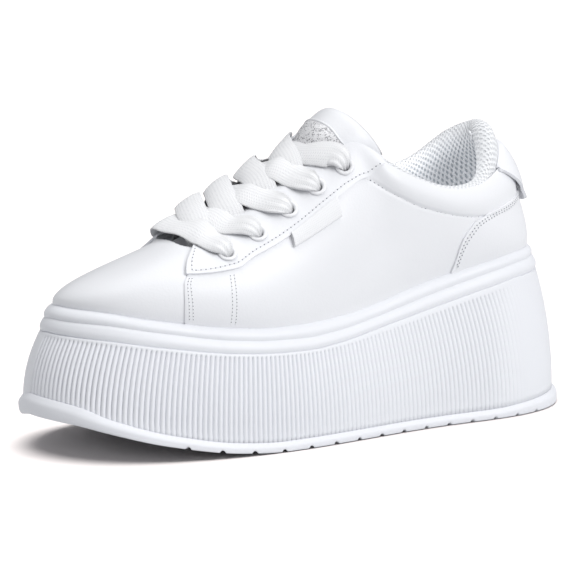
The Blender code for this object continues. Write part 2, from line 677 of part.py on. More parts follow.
def side_tab():
    """The loop label, a folded ribbon that hangs from the lower edge of the lateral facing."""
    where, along = np.meshgrid(np.linspace(*TAB_SPAN, 6), np.linspace(0, 1, 4))
    edge = smooth(where, [row[0] for row in FACING_EDGE], [row[1] for row in FACING_EDGE]) - TAB_GAP
    rise = TAB_FOLD + (edge - TAB_FOLD) * along
    swell = TAB_SWELL * np.sin(np.pi * along)
    grid = slab(upper_point(where, rise, CURVE_CLEAR + TAB_THICK + swell), upper_point(where, rise, CURVE_CLEAR), False)
    make("side_tab", *grid, CLOTH, (0.8, 0.0))


def tongue_piece():
    """The padded tongue: thick in the middle, thin at its edges."""
    across, along = np.meshgrid(np.linspace(-1, 1, 11), np.linspace(0, 1, 12))
    thick = 1.8 + (TONGUE_THICK - 1.8) * (1 - across**4) * np.clip(along * 5, 0.25, 1)
    make("tongue", *slab(tongue_point(along, across), tongue_point(along, across, -thick), False), LEATHER)


def fasteners():
    """Ten eyelets, and the lace: a straight bar and four crossings of two straps each."""
    bore, barrel, flange = EYELET_BORE, EYELET_BARREL, EYELET_FLANGE
    low, seat, top = -OVERLAY - UPPER_WALL - 1.2, CLEAR, CLEAR + FLANGE_THICK
    profile = (
        (bore, low),
        (barrel, low),
        (barrel, seat),
        (flange, seat),
        (flange - 0.6, top),
        (bore, top),
        (bore, low),
    )
    for side, word in ((1, "lateral"), (-1, "medial")):
        for k, (name, _, _) in enumerate(EYELETS):
            make(f"eyelet_{word}_{name}", *spun(k, side, profile), (0.9, 0.9, 0.91), (0.35, 0.0))

    make("lace_bar", *ribbon(bar_knots()), CLOTH, (0.85, 0.0))
    for k in range(1, len(EYELETS)):
        crossing = make(f"lace_cross_{EYELETS[k][0]}", *ribbon(strap_knots(k, 1)), CLOTH, (0.85, 0.0))
        join(crossing, *ribbon(strap_knots(k, -1)), f"lace_under_{EYELETS[k][0]}")


def main():
    for item in list(bpy.data.objects):
        bpy.data.objects.remove(item)
    for name in ("wedge_sneaker", "cutters"):
        bpy.context.scene.collection.children.link(bpy.data.collections.new(name))
    sole_pieces()
    upper_piece()
    overlays()
    side_tab()
    tongue_piece()
    fasteners()


if __name__ == "__main__":
    main()
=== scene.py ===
# %% [markdown]
# # A white wedge sneaker
#
# This lesson dresses one left shoe: a smooth leather sneaker on a tall ribbed platform. The
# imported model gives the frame, a shape for every piece in plain facets. Here each piece gets its
# finished form: ribs on the platform, panels that overlap, stitches, a padded collar with a mesh
# lining, laces that run through their eyelets, and a material for each.
#
# Lengths are in millimetres until a mesh is made. X is the outer side, -Y the toe, +Z up.

import math

import bpy
import numpy as np
from mathutils import Matrix, Vector


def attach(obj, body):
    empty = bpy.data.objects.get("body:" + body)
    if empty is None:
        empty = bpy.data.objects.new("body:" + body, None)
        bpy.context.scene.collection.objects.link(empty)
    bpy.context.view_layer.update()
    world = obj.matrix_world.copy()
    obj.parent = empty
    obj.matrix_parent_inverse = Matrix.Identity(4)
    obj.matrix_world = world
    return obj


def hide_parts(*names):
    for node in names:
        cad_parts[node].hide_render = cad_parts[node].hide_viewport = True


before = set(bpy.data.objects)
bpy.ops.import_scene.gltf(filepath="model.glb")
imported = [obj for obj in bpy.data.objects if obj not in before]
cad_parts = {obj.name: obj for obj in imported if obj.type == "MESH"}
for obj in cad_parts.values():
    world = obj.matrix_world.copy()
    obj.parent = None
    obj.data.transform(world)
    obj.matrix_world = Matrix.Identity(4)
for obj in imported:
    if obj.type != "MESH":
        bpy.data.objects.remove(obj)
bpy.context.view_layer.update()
MM = 0.001
CENTRE = np.array([1.086, 0.063, 0.0])  # from the tables' axis to the middle of the box
bpy.ops.object.select_all(action="DESELECT")

# %% [markdown]
# ## Camera and light
#
# The shoe is seen from its outer side and a little from the front, from just above the floor,
# through a long lens that keeps it free of perspective swelling. A white shoe in front of white
# needs light that is nearly even, so its form shows by gentle shade: a soft key from the outer
# side and a little behind, a wider light of the same strength from overhead, and a bright room.
# The toe then falls into shade. The floor has a lamp of its own, so it can be made white without
# burning out the shoe, and a small lamp in the opening shows the lining.

# %% Camera
AZIMUTH, ELEVATION, DISTANCE = math.radians(60), math.radians(10), 1.2405
AIM = Vector((0.0152, -0.0159, 0.0696))
LENS, SENSOR, NEAREST = 162.5, 36.0, 0.05  # lens and sensor in mm; nearest thing seen, in metres
away = Vector(
    (
        math.sin(AZIMUTH) * math.cos(ELEVATION),
        -math.cos(AZIMUTH) * math.cos(ELEVATION),
        math.sin(ELEVATION),
    )
)
bpy.ops.object.camera_add(location=AIM + away * DISTANCE)
camera = bpy.context.object
camera.rotation_euler = (math.pi / 2 - ELEVATION, 0.0, AZIMUTH)
camera.data.lens, camera.data.sensor_width = LENS, SENSOR
camera.data.clip_start = NEAREST
bpy.context.scene.camera = camera
bpy.context.scene.view_settings.view_transform = "Standard"
print("camera at", tuple(round(c, 3) for c in camera.location))


# %% Lights
def only_for(lamp, *pieces, leave_out=False):
    """Let a lamp light these pieces alone, or all but these."""
    group = bpy.data.collections.new(lamp.name + "_reach")
    lamp.light_linking.receiver_collection = group
    for piece in pieces:
        group.objects.link(piece)
    if leave_out:
        for member in group.collection_objects:
            member.light_linking.link_state = "EXCLUDE"


def sky_light(name, direction, strength, softness):
    """An even soft light from a direction; softness is its width in degrees."""
    bpy.ops.object.light_add(type="SUN", location=Vector(direction) * LAMP_AWAY)
    lamp = bpy.context.object
    lamp.name = name
    lamp.data.energy, lamp.data.angle = strength, math.radians(softness)
    lamp.rotation_euler = Vector(direction).to_track_quat("Z", "Y").to_euler()
    return lamp


# direction, strength, width in degrees
KEY_LIGHT = ((0.83, 0.30, 0.54), 1.76, 35.0)
TOP_LIGHT = ((-0.05, -0.05, 1.0), 1.74, 70.0)
FLOOR_LIGHT = ((0.0, 0.0, 1.0), 4.4, 58.0)
LAMP_AWAY = 2.0  # metres; how far off such a lamp stands changes nothing
INNER_PLACE, INNER_POWER, INNER_SIZE = (0.0, 0.058, 0.116), 0.028, 0.016

shoe_lamps = [sky_light("key_light", *KEY_LIGHT), sky_light("top_light", *TOP_LIGHT)]
floor_lamp = sky_light("floor_light", *FLOOR_LIGHT)
bpy.ops.object.light_add(type="POINT", location=INNER_PLACE)
inner_lamp = bpy.context.object
inner_lamp.name = "inner_light"
inner_lamp.data.energy, inner_lamp.data.shadow_soft_size = INNER_POWER, INNER_SIZE
inner_lamp.visible_camera = False

# %% Room
ROOM_TINT, ROOM_LIGHT = (0.96, 0.972, 1.0, 1.0), 0.275
room = bpy.data.worlds.new("white_room")
bpy.context.scene.world = room
room.use_nodes = True
tree = room.node_tree
tree.nodes["Background"].inputs["Color"].default_value = ROOM_TINT
tree.nodes["Background"].inputs["Strength"].default_value = ROOM_LIGHT
backdrop = tree.nodes.new("ShaderNodeBackground")
backdrop.inputs["Color"].default_value = (1.0, 1.0, 1.0, 1.0)
choose, ray = tree.nodes.new("ShaderNodeMixShader"), tree.nodes.new("ShaderNodeLightPath")
tree.links.new(ray.outputs["Is Camera Ray"], choose.inputs[0])
tree.links.new(tree.nodes["Background"].outputs[0], choose.inputs[1])
tree.links.new(backdrop.outputs[0], choose.inputs[2])
tree.links.new(choose.outputs[0], tree.nodes["World Output"].inputs[0])

# %% [markdown]
# ## Shapes shared with the frame
#
# A shoe is built on a last, and every panel follows it. So the surfaces come from the same short
# tables as the frame's pieces: the outline of the sole, the heights up its side, and the ribs of
# the upper, each a curve from the feather line, where upper and sole meet, to the topline. A
# place on the upper is then two numbers, how far round and how far up, and every panel, seam and
# row of stitches is laid out in them.

# %% Sizes of the sole
SOLE_LENGTH, BALL_WIDTH = 288.0, 107.0
RIM_PROUD, WALL_LEAN = 2.4, 8.6
FEATHER_INSET, SIDE_EASE, HEEL_EXTRA = 17.4, 0.20, 0.24
UPPER_WALL, INSOLE_DROP = 2.0, 8.0

# Outline of the rim: share of the length from the toe, share of the ball width from the axis.
OUTLINE = (
    ("toe tip", 0.000, -0.085),
    ("lateral toe", 0.018, 0.100),
    ("lateral vamp", 0.072, 0.275),
    ("lateral fore", 0.190, 0.423),
    ("lateral ball", 0.370, 0.488),
    ("lateral waist", 0.560, 0.442),
    ("lateral shank", 0.700, 0.411),
    ("lateral heel", 0.850, 0.400),
    ("lateral corner", 0.953, 0.278),
    ("heel back", 1.000, 0.000),
    ("medial corner", 0.953, -0.280),
    ("medial heel", 0.850, -0.405),
    ("medial shank", 0.690, -0.385),
    ("medial waist", 0.540, -0.408),
    ("medial ball", 0.330, -0.500),
    ("medial fore", 0.160, -0.480),
    ("medial vamp", 0.062, -0.375),
    ("medial toe", 0.0185, -0.250),
)

# Heights up the side of the sole at shares of the length from the toe.
SIDE = (
    # along, underside, rim, ledge, groove, feather
    (0.000, 18.4, 28.8, 54.8, 61.5, 68.4),
    (0.040, 16.8, 26.0, 55.5, 62.2, 68.9),
    (0.080, 13.8, 20.5, 55.0, 62.0, 68.8),
    (0.170, 7.2, 12.5, 51.3, 58.2, 64.8),
    (0.290, 1.4, 6.4, 46.5, 52.6, 59.7),
    (0.370, 0.0, 5.0, 44.8, 50.7, 57.8),
    (0.430, 0.0, 5.0, 44.4, 50.3, 57.9),
    (0.500, 0.0, 5.0, 46.2, 52.0, 59.4),
    (0.570, 0.0, 5.0, 49.9, 55.6, 62.6),
    (0.640, 0.0, 5.0, 53.8, 60.0, 67.8),
    (0.710, 0.0, 5.0, 58.0, 64.9, 72.5),
    (0.800, 0.0, 5.0, 63.7, 70.7, 78.1),
    (0.870, 0.0, 6.0, 67.2, 74.2, 81.3),
    (1.000, 0.0, 8.8, 69.0, 77.0, 84.0),
)
UNDERSIDE, RIM, LEDGE, GROOVE, FEATHER = range(1, 6)
# The toe springs up along an oblique line, so its medial corner stays lower, level by level.
TOE_DROP = (0.0, 2.4, 3.2, 1.6, 2.0, 1.7)
DROP_ACROSS, DROP_ALONG = (5.0, 22.0), (70.0, 138.0)  # where it sets in, and where it is full

# %% Sizes of the upper and the tongue
# Once round: where each rib starts on the feather line (share of one turn), where it ends on the
# topline (x, y, z), rise and swell of its lower handle, drop and lean of its upper handle.
RIBS = (
    ("throat front", 0.000, 0.0, -73.0, 95.8, 8.5, 2.0, 10.3, 25.0),
    ("lateral throat", 0.086, 13.5, -70.5, 94.3, 11.0, 4.0, 6.5, 19.0),
    ("lateral first eyelet", 0.152, 18.0, -57.0, 96.0, 13.0, 6.0, 5.0, 17.0),
    ("lateral third eyelet", 0.222, 18.5, -22.0, 113.5, 19.0, 5.0, 8.0, 16.0),
    ("lateral top eyelet", 0.277, 20.0, 5.0, 132.0, 27.0, 4.5, 10.0, 14.5),
    ("lateral peak", 0.299, 22.5, 14.5, 138.0, 26.0, 4.5, 14.0, 10.0),
    ("lateral collar front", 0.325, 29.0, 27.0, 132.0, 22.0, 5.0, 17.0, 5.0),
    ("lateral collar", 0.357, 31.6, 43.0, 123.0, 16.0, 5.0, 15.0, 3.8),
    ("lateral dip", 0.392, 31.4, 61.0, 116.3, 13.0, 4.5, 13.0, 3.0),
    ("lateral quarter", 0.421, 28.6, 77.0, 115.4, 12.0, 4.0, 12.0, 3.0),
    ("lateral rear", 0.448, 23.0, 91.0, 119.5, 12.0, 3.0, 12.0, 4.5),
    ("lateral heel", 0.474, 13.5, 101.5, 131.0, 16.0, 0.5, 16.0, 7.0),
    ("heel back", 0.500, 0.0, 106.5, 141.0, 20.0, -1.8, 19.0, 8.5),
    ("medial heel", 0.526, -12.5, 100.5, 137.5, 18.0, 0.5, 17.0, 7.0),
    ("medial rear", 0.552, -22.0, 89.5, 129.5, 14.0, 3.0, 15.0, 4.5),
    ("medial quarter", 0.579, -28.0, 75.5, 121.8, 13.0, 4.0, 13.0, 3.0),
    ("medial dip", 0.608, -31.0, 59.5, 119.5, 14.0, 4.5, 13.0, 3.0),
    ("medial collar", 0.643, -31.6, 42.0, 123.5, 17.0, 5.0, 15.0, 3.8),
    ("medial collar front", 0.675, -29.0, 26.0, 132.5, 23.0, 5.0, 17.0, 5.0),
    ("medial peak", 0.701, -22.5, 13.5, 138.5, 27.0, 4.5, 14.0, 10.0),
    ("medial top eyelet", 0.723, -20.0, 4.0, 132.5, 29.0, 4.5, 10.0, 14.5),
    ("medial third eyelet", 0.778, -18.5, -24.0, 113.5, 20.0, 5.0, 8.0, 16.0),
    ("medial first eyelet", 0.848, -18.0, -60.0, 96.3, 13.0, 5.0, 5.5, 15.0),
    ("medial throat", 0.914, -13.5, -72.5, 94.3, 9.5, 1.5, 10.0, 12.0),
)
ROUND = len(RIBS)

# Tongue, from under the vamp to its top: y, height, bend radius across, half width.
TONGUE = (
    ("tucked end", -88.0, 85.2, 44.0, 17.0),
    ("vamp edge", -73.0, 91.6, 31.0, 20.0),
    ("first eyelet", -57.0, 98.6, 25.5, 22.5),
    ("second eyelet", -39.0, 107.6, 22.3, 24.0),
    ("third eyelet", -21.0, 119.0, 20.8, 25.0),
    ("fourth eyelet", -4.0, 132.9, 19.8, 26.5),
    ("patch", 5.2, 144.4, 22.0, 33.0),
    ("top", 17.5, 153.6, 22.0, 40.0),
)
# Eyelets of one facing: place round the ribs and up the rib. The other facing mirrors it.
EYELETS = (
    ("first", 2.05, 0.760),
    ("second", 2.52, 0.820),
    ("third", 2.99, 0.850),
    ("fourth", 3.53, 0.860),
    ("top", 4.21, 0.850),
)


# %% Smooth curves
def hermite(start, stop, slope_in, slope_out, gap, t):
    """Cubic between two values with given slopes; t runs 0..1 over the gap between them."""
    return (
        start * (1 + 2 * t) * (1 - t) ** 2
        + slope_in * gap * t * (1 - t) ** 2
        + stop * t * t * (3 - 2 * t)
        + slope_out * gap * t * t * (t - 1)
    )


def smooth(x, knots, values):
    """Smooth curve through a table that never overshoots its rows."""
    knots, values = np.asarray(knots, float), np.asarray(values, float)
    x = np.clip(np.asarray(x, float), knots[0], knots[-1])
    gap = np.diff(knots)
    rise = np.diff(values) / gap
    slope = np.zeros(len(knots))
    slope[0], slope[-1] = rise[0], rise[-1]
    before, after = rise[:-1], rise[1:]
    same = before * after > 0
    mean = np.zeros(len(before))
    mean[same] = 2.0 * before[same] * after[same] / (before[same] + after[same])
    slope[1:-1] = mean
    i = np.clip(np.searchsorted(knots, x, side="right") - 1, 0, len(gap) - 1)
    t = (x - knots[i]) / gap[i]
    return hermite(values[i], values[i + 1], slope[i], slope[i + 1], gap[i], t)


def by_rows(x, table, column=1):
    """Smooth value of one column of a table whose first column is the place."""
    return smooth(x, [row[0] for row in table], [row[column] for row in table])


def closed_curve(rows, gap, where):
    """Smooth closed curve through rows; where runs 0..number of rows."""
    rows = np.asarray(rows, float)
    n = len(rows)
    matrix, right = np.zeros((n, n)), np.zeros_like(rows)
    for i in range(n):
        a, b = gap[i - 1], gap[i]
        matrix[i, i - 1] += 1 / a
        matrix[i, i] += 2 * (1 / a + 1 / b)
        matrix[i, (i + 1) % n] += 1 / b
        right[i] = 3 * ((rows[i] - rows[i - 1]) / a**2 + (rows[(i + 1) % n] - rows[i]) / b**2)
    slope = np.linalg.solve(matrix, right)
    i = np.floor(where).astype(int) % n
    t = (where - np.floor(where))[:, None]
    h, j = np.asarray(gap)[i][:, None], (i + 1) % n
    return hermite(rows[i], rows[j], slope[i], slope[j], h, t)


def ease(x, low, high):
    """0 below low, 1 above high, smooth between."""
    t = np.clip((np.asarray(x, float) - low) / (high - low), 0, 1)
    return t * t * (3 - 2 * t)


def unit(v):
    """The same directions, each one long."""
    return v / np.maximum(np.linalg.norm(v, axis=-1, keepdims=True), 1e-9)


def lengths(points):
    """Length of each side of a closed polygon."""
    return np.linalg.norm(np.roll(points, -1, axis=0) - points, axis=1)


def walk(points):
    """How far one has walked at each of a row of points, from 0."""
    return np.concatenate([[0], np.cumsum(np.linalg.norm(np.diff(points, axis=0), axis=1))])


# %% The sole's rings
def height(level, y):
    """Height of one of the SIDE levels at y."""
    return by_rows(np.asarray(y) / SOLE_LENGTH + 0.5, SIDE, level)


def level_at(level, x, y):
    """Height of a level at x and y: the table, less the drop of the medial toe."""
    return height(level, y) - TOE_DROP[level] * ease(-x, *DROP_ACROSS) * ease(-y, *DROP_ALONG)


OUTLINE_STEPS = 1440


def outline(inset, turn):
    """Points of the sole's outline, moved in by inset, at shares of one turn from the toe."""
    rows = np.array([(across * BALL_WIDTH, (along - 0.5) * SOLE_LENGTH) for _, along, across in OUTLINE])
    fine = closed_curve(rows, lengths(rows), np.linspace(0, len(rows), OUTLINE_STEPS + 1)[:-1])
    tangent = np.roll(fine, -1, axis=0) - np.roll(fine, 1, axis=0)
    out = unit(np.stack([tangent[:, 1], -tangent[:, 0]], axis=1))
    share = 1 - SIDE_EASE * out[:, 0] ** 2 + HEEL_EXTRA * np.clip(out[:, 1], 0, 1) ** 2
    fine = fine - out * (inset * share)[:, None]
    closed, closed_out = np.vstack([fine, fine[:1]]), np.vstack([out, out[:1]])
    walked = walk(closed)
    at = (np.asarray(turn) % 1.0) * walked[-1]
    spot = np.stack([np.interp(at, walked, closed[:, k]) for k in (0, 1)], axis=1)
    face = np.stack([np.interp(at, walked, closed_out[:, k]) for k in (0, 1)], axis=1)
    return spot, unit(face)


def sole_ring(inset, level, lift, turn, push=0.0):
    """One ring round the sole: the outline moved in, at a height of the SIDE table.
    Each of its points may then be pushed out by its own amount."""
    spot, face = outline(inset, turn)
    z = level_at(level, spot[:, 0], spot[:, 1]) + lift
    return np.column_stack([spot + face * np.broadcast_to(push, len(spot))[:, None], z])


# %% Places on the upper
LEATHER_SUNK = 0.5  # the leather starts this far below the top of the platform


def upper_rows(where):
    """Feather point, its outward direction, topline point and handles at where (0..ROUND)."""
    table = np.array([row[1:] for row in RIBS])
    top = table[:, 1:4]
    feather, _ = outline(FEATHER_INSET, table[:, 0])
    gap = 0.5 * lengths(top) + 0.5 * lengths(feather)
    even = np.concatenate([[0], np.cumsum(gap)])[:-1] / gap.sum()
    data = np.column_stack([table[:, 0] - even, table[:, 1:]])
    got = closed_curve(data, gap, where)
    i = np.floor(where).astype(int) % ROUND
    turn = got[:, 0] + even[i] + (where - np.floor(where)) * gap[i] / gap.sum()
    spot, face = outline(FEATHER_INSET, turn)
    return spot, face, got[:, 1:4], got[:, 4:8]


def upper_point(where, rise, off=0.0):
    """Point of the upper at where (round) and rise (0 feather .. 1 topline), moved out by off."""
    where, rise, off = np.broadcast_arrays(
        np.asarray(where, float), np.asarray(rise, float), np.asarray(off, float)
    )

    def skin(u, v):
        spot, face, top, hand = upper_rows(u.ravel() % ROUND)
        v = v.ravel()[:, None]
        up, out = np.array([0.0, 0.0, 1.0]), np.column_stack([face, np.zeros(len(face))])
        foot = np.column_stack([spot, level_at(FEATHER, spot[:, 0], spot[:, 1]) - LEATHER_SUNK])
        low = foot + up * hand[:, :1] + out * hand[:, 1:2]
        high = top - up * hand[:, 2:3] + out * hand[:, 3:4]
        return (
            foot * (1 - v) ** 3 + low * 3 * v * (1 - v) ** 2 + high * 3 * v * v * (1 - v) + top * v**3
        ).reshape(u.shape + (3,))

    point = skin(where, rise)
    if not np.any(off):
        return point
    step = 1e-3
    along = skin(where + step, rise) - skin(where - step, rise)
    across = skin(where, rise + step) - skin(where, rise - step)
    return point + unit(np.cross(along, across)) * off[..., None]


def upper_face(where, rise):
    """Outward direction of the upper."""
    return unit(upper_point(where, rise, 1.0) - upper_point(where, rise))


def mirrored(where, side):
    """Place round the ribs on the lateral (side 1) or medial (side -1) half."""
    return where if side > 0 else ROUND - where


# %% Places on the tongue
CORNER_CUT = 0.006  # how much the tongue's top corners are rounded off


def tongue_point(along, across, off=0.0):
    """Point of the tongue's outer face: along 0..1 from the tucked end, across -1..1."""
    along, across = np.broadcast_arrays(np.asarray(along, float), np.asarray(across, float))
    rows = np.array([row[1:] for row in TONGUE])
    walked = walk(rows[:, :2])
    at = (along - CORNER_CUT * along * across**4) * walked[-1]
    y, z = smooth(at, walked, rows[:, 0]), smooth(at, walked, rows[:, 1])
    dy = smooth(at + 0.5, walked, rows[:, 0]) - smooth(at - 0.5, walked, rows[:, 0])
    dz = smooth(at + 0.5, walked, rows[:, 1]) - smooth(at - 0.5, walked, rows[:, 1])
    size = np.hypot(dy, dz)
    ny, nz = -dz / size, dy / size
    bend = smooth(at, walked, rows[:, 2])
    angle = across * smooth(at, walked, rows[:, 3]) / bend
    radius = bend + off
    fall = bend - radius * np.cos(angle)
    return np.stack([radius * np.sin(angle), y - ny * fall, z - nz * fall], axis=-1)


def tongue_face(along, across):
    """Outward direction of the tongue."""
    return unit(tongue_point(along, across, 1.0) - tongue_point(along, across))


print("topline at the heel, in mm:", upper_point(12.0, 1.0).round(1))

# %% [markdown]
# ## Helpers for thin pieces
#
# Every panel of a shoe is cut flat and pulled over the last. The same is done here: a flat grid
# primitive is added, and each of its corners is moved to its place on the shoe, so the panel
# keeps an even weave of faces and a UV map that tells how far along the panel a point is. A
# Solidify modifier gives the panel its thickness and a Bevel rounds its cut edges.


# %% Lay a grid on the shoe
MERGE_GAP = 3e-6  # metres


def only(piece):
    """Select one piece alone, as every operator works on all that is selected."""
    bpy.ops.object.select_all(action="DESELECT")
    piece.select_set(True)
    bpy.context.view_layer.objects.active = piece


def in_edit_mode(piece, *steps):
    """Run edit-mode operators on the whole of one piece."""
    only(piece)
    bpy.ops.object.mode_set(mode="EDIT")
    bpy.ops.mesh.select_all(action="SELECT")
    for step in steps:
        step()
    bpy.ops.object.mode_set(mode="OBJECT")


def merge():
    """Join corners that lie on each other, as where a section closes."""
    bpy.ops.mesh.remove_doubles(threshold=MERGE_GAP)


def sheet_of(start, stop, columns, rows):
    """Two grids of numbers: start to stop along the columns, and 0 to 1 up the rows."""
    return np.meshgrid(np.linspace(start, stop, columns + 1), np.linspace(0, 1, rows + 1))


def laid(name, points, size=(1.0, 1.0), origin=(0.0, 0.0)):
    """A grid primitive whose corners are moved to points (rows x columns x 3, mm).
    Its UV map is stretched to size from an origin, so that patterns are in millimetres."""
    rows, columns = points.shape[0] - 1, points.shape[1] - 1
    bpy.ops.mesh.primitive_grid_add(x_subdivisions=columns, y_subdivisions=rows, size=1.0)
    piece = bpy.context.object
    piece.name = piece.data.name = name
    flat = np.empty(len(piece.data.vertices) * 3, np.float32)
    piece.data.vertices.foreach_get("co", flat)
    share = flat.reshape(-1, 3) + 0.5
    row, column = np.rint(share[:, 1] * rows).astype(int), np.rint(share[:, 0] * columns).astype(int)
    placed = (points[row, column] + CENTRE) * MM
    piece.data.vertices.foreach_set("co", placed.astype(np.float32).ravel())
    uv = np.empty(len(piece.data.loops) * 2, np.float32)
    piece.data.uv_layers.active.data.foreach_get("uv", uv)
    uv = (uv.reshape(-1, 2) * np.array(size, np.float32) - np.array(origin, np.float32)).ravel()
    piece.data.uv_layers.active.data.foreach_set("uv", uv)
    in_edit_mode(piece, merge)
    return piece


# %% Finish a piece
CUT_EDGE = math.radians(50)  # a corner sharper than this is a cut edge


def modified(piece, kind, **settings):
    """Add a modifier and apply it at once."""
    only(piece)
    change = piece.modifiers.new(kind.lower(), kind)
    for key, value in settings.items():
        setattr(change, key, value)
    bpy.ops.object.modifier_apply(modifier=change.name)


def thicken(piece, thick, edge=0.0, steps=2):
    """Give a panel its thickness inwards, and round its cut edges."""
    modified(piece, "SOLIDIFY", thickness=thick * MM, offset=-1.0)
    if edge:
        limits = {"limit_method": "ANGLE", "angle_limit": CUT_EDGE}
        modified(piece, "BEVEL", width=edge * MM, segments=steps, **limits)


def dress(piece, material, slot, *nodes):
    """Smooth shading, material and body; the slot is not used; piece stands for the CAD nodes named."""
    only(piece)
    bpy.ops.object.shade_smooth()
    piece.data.materials.clear()
    piece.data.materials.append(material)
    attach(piece, "root")
    if nodes:
        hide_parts(*nodes)
    print(f"{piece.name}: {len(piece.data.polygons)} faces")
    return piece


# %% [markdown]
# ## Materials
#
# The whole shoe is white, so what tells the materials apart is their surface: a smooth coated
# leather with a fine grain, moulded foam with a satin skin, open spacer mesh in the collar, a
# woven cotton lace, and a glitter patch on the tongue. Grain, weave, wear and mesh are node groups
# with named inputs, built once and set per material. Constants go straight on the shader.


# %% Node helpers
def add_node(tree, kind, inputs=(), **settings):
    """A node with its settings; an input is a value, or another node's socket to link."""
    item = tree.nodes.new(kind)
    for key, value in settings.items():
        setattr(item, key, value)
    for key, value in dict(inputs).items():
        socket = item.inputs[key]
        if isinstance(value, bpy.types.NodeSocket):
            tree.links.new(value, socket)
        else:
            socket.default_value = value
    return item


def math_node(tree, operation, *values):
    """A Math node, by its output."""
    return add_node(tree, "ShaderNodeMath", dict(enumerate(values)), operation=operation).outputs[0]


def mix_colour(tree, share, first, second):
    """A Mix node between two colours, by its output."""
    return add_node(tree, "ShaderNodeMix", {0: share, 6: first, 7: second}, data_type="RGBA").outputs[2]


def noise(tree, vector, scale, detail, **more):
    """A Noise texture, by its output."""
    inputs = {"Vector": vector, "Scale": scale, "Detail": detail, **more}
    return add_node(tree, "ShaderNodeTexNoise", inputs).outputs[0]


def new_group(name, inputs, outputs):
    """An empty shader node group with its sockets: (name, kind, default)."""
    group = bpy.data.node_groups.new(name, "ShaderNodeTree")
    for label, kind, default in inputs:
        socket = group.interface.new_socket(label, in_out="INPUT", socket_type=f"NodeSocket{kind}")
        if default is not None:
            socket.default_value = default
    for label, kind in outputs:
        group.interface.new_socket(label, in_out="OUTPUT", socket_type=f"NodeSocket{kind}")
    return group, group.nodes.new("NodeGroupInput").outputs, group.nodes.new("NodeGroupOutput").inputs


def smooth_step(tree, value, low, high):
    """A soft threshold: 0 below low, 1 above high."""
    return add_node(
        tree, "ShaderNodeMapRange", {0: value, 1: low, 2: high}, interpolation_type="SMOOTHSTEP"
    ).outputs[0]


# %% Group: fine grain
grain_group, grain_in, grain_out = new_group(
    "fine_grain",
    [("Vector", "Vector", None), ("Cell", "Float", 900.0), ("Depth", "Float", 1.0)],
    [("Height", "Float"), ("Tone", "Float")],
)
cells = add_node(
    grain_group,
    "ShaderNodeTexVoronoi",
    {"Vector": grain_in["Vector"], "Scale": grain_in["Cell"]},
    feature="SMOOTH_F1",
)
pores = noise(grain_group, grain_in["Vector"], 2600.0, 3.0)
waves = noise(grain_group, grain_in["Vector"], 45.0, 2.0)
mixed = math_node(grain_group, "MULTIPLY_ADD", pores, 0.35, cells.outputs["Distance"])
grain_group.links.new(math_node(grain_group, "MULTIPLY", mixed, grain_in["Depth"]), grain_out["Height"])
grain_group.links.new(waves, grain_out["Tone"])

# %% Group: handling marks
marks_group, marks_in, marks_out = new_group(
    "handling_marks",
    [
        ("Vector", "Vector", None),
        ("Colour", "Color", None),
        ("Mark Colour", "Color", None),
        ("Amount", "Float", 0.1),
    ],
    [("Colour", "Color"), ("Mask", "Float")],
)
smudge = noise(marks_group, marks_in["Vector"], 60.0, 6.0, Roughness=0.6)
speck = noise(marks_group, marks_in["Vector"], 520.0, 2.0)
soft = smooth_step(marks_group, smudge, 0.52, 0.78)
dots = smooth_step(marks_group, speck, 0.74, 0.80)
both = math_node(marks_group, "MULTIPLY", math_node(marks_group, "ADD", soft, dots), marks_in["Amount"])
marked = mix_colour(marks_group, both, marks_in["Colour"], marks_in["Mark Colour"])
marks_group.links.new(marked, marks_out["Colour"])
marks_group.links.new(both, marks_out["Mask"])

# %% Group: plain weave along a UV map in millimetres
weave_group, weave_in, weave_out = new_group(
    "woven_threads",
    [("Vector", "Vector", None), ("Across", "Float", 1.0), ("Along", "Float", 1.0), ("Slant", "Float", 0.0)],
    [("Height", "Float"), ("Gap", "Float")],
)
place = add_node(weave_group, "ShaderNodeSeparateXYZ", {0: weave_in["Vector"]})
tilt = math_node(weave_group, "ABSOLUTE", place.outputs[0])
leaned = math_node(weave_group, "MULTIPLY_ADD", tilt, weave_in["Slant"], place.outputs[1])
turn_x = math_node(weave_group, "MULTIPLY", place.outputs[0], weave_in["Across"])
turn_y = math_node(weave_group, "MULTIPLY", leaned, weave_in["Along"])
wave_x = math_node(weave_group, "SINE", math_node(weave_group, "MULTIPLY", turn_x, 2 * math.pi))
wave_y = math_node(weave_group, "SINE", math_node(weave_group, "MULTIPLY", turn_y, 2 * math.pi))
product = math_node(weave_group, "MULTIPLY", wave_x, wave_y)
ridge = math_node(weave_group, "MULTIPLY_ADD", wave_y, 0.6, product)
weave_group.links.new(ridge, weave_out["Height"])
weave_group.links.new(smooth_step(weave_group, ridge, -0.35, -1.1), weave_out["Gap"])

# %% Group: open spacer mesh, rows of oval holes with each row shifted by half
mesh_group, mesh_in, mesh_out = new_group(
    "spacer_mesh",
    [("Vector", "Vector", None), ("Wide", "Float", 3.0), ("High", "Float", 3.0)],
    [("Height", "Float"), ("Hole", "Float")],
)
spot = add_node(mesh_group, "ShaderNodeSeparateXYZ", {0: mesh_in["Vector"]})
step_x = math_node(mesh_group, "DIVIDE", spot.outputs[0], mesh_in["Wide"])
step_y = math_node(mesh_group, "DIVIDE", spot.outputs[1], mesh_in["High"])


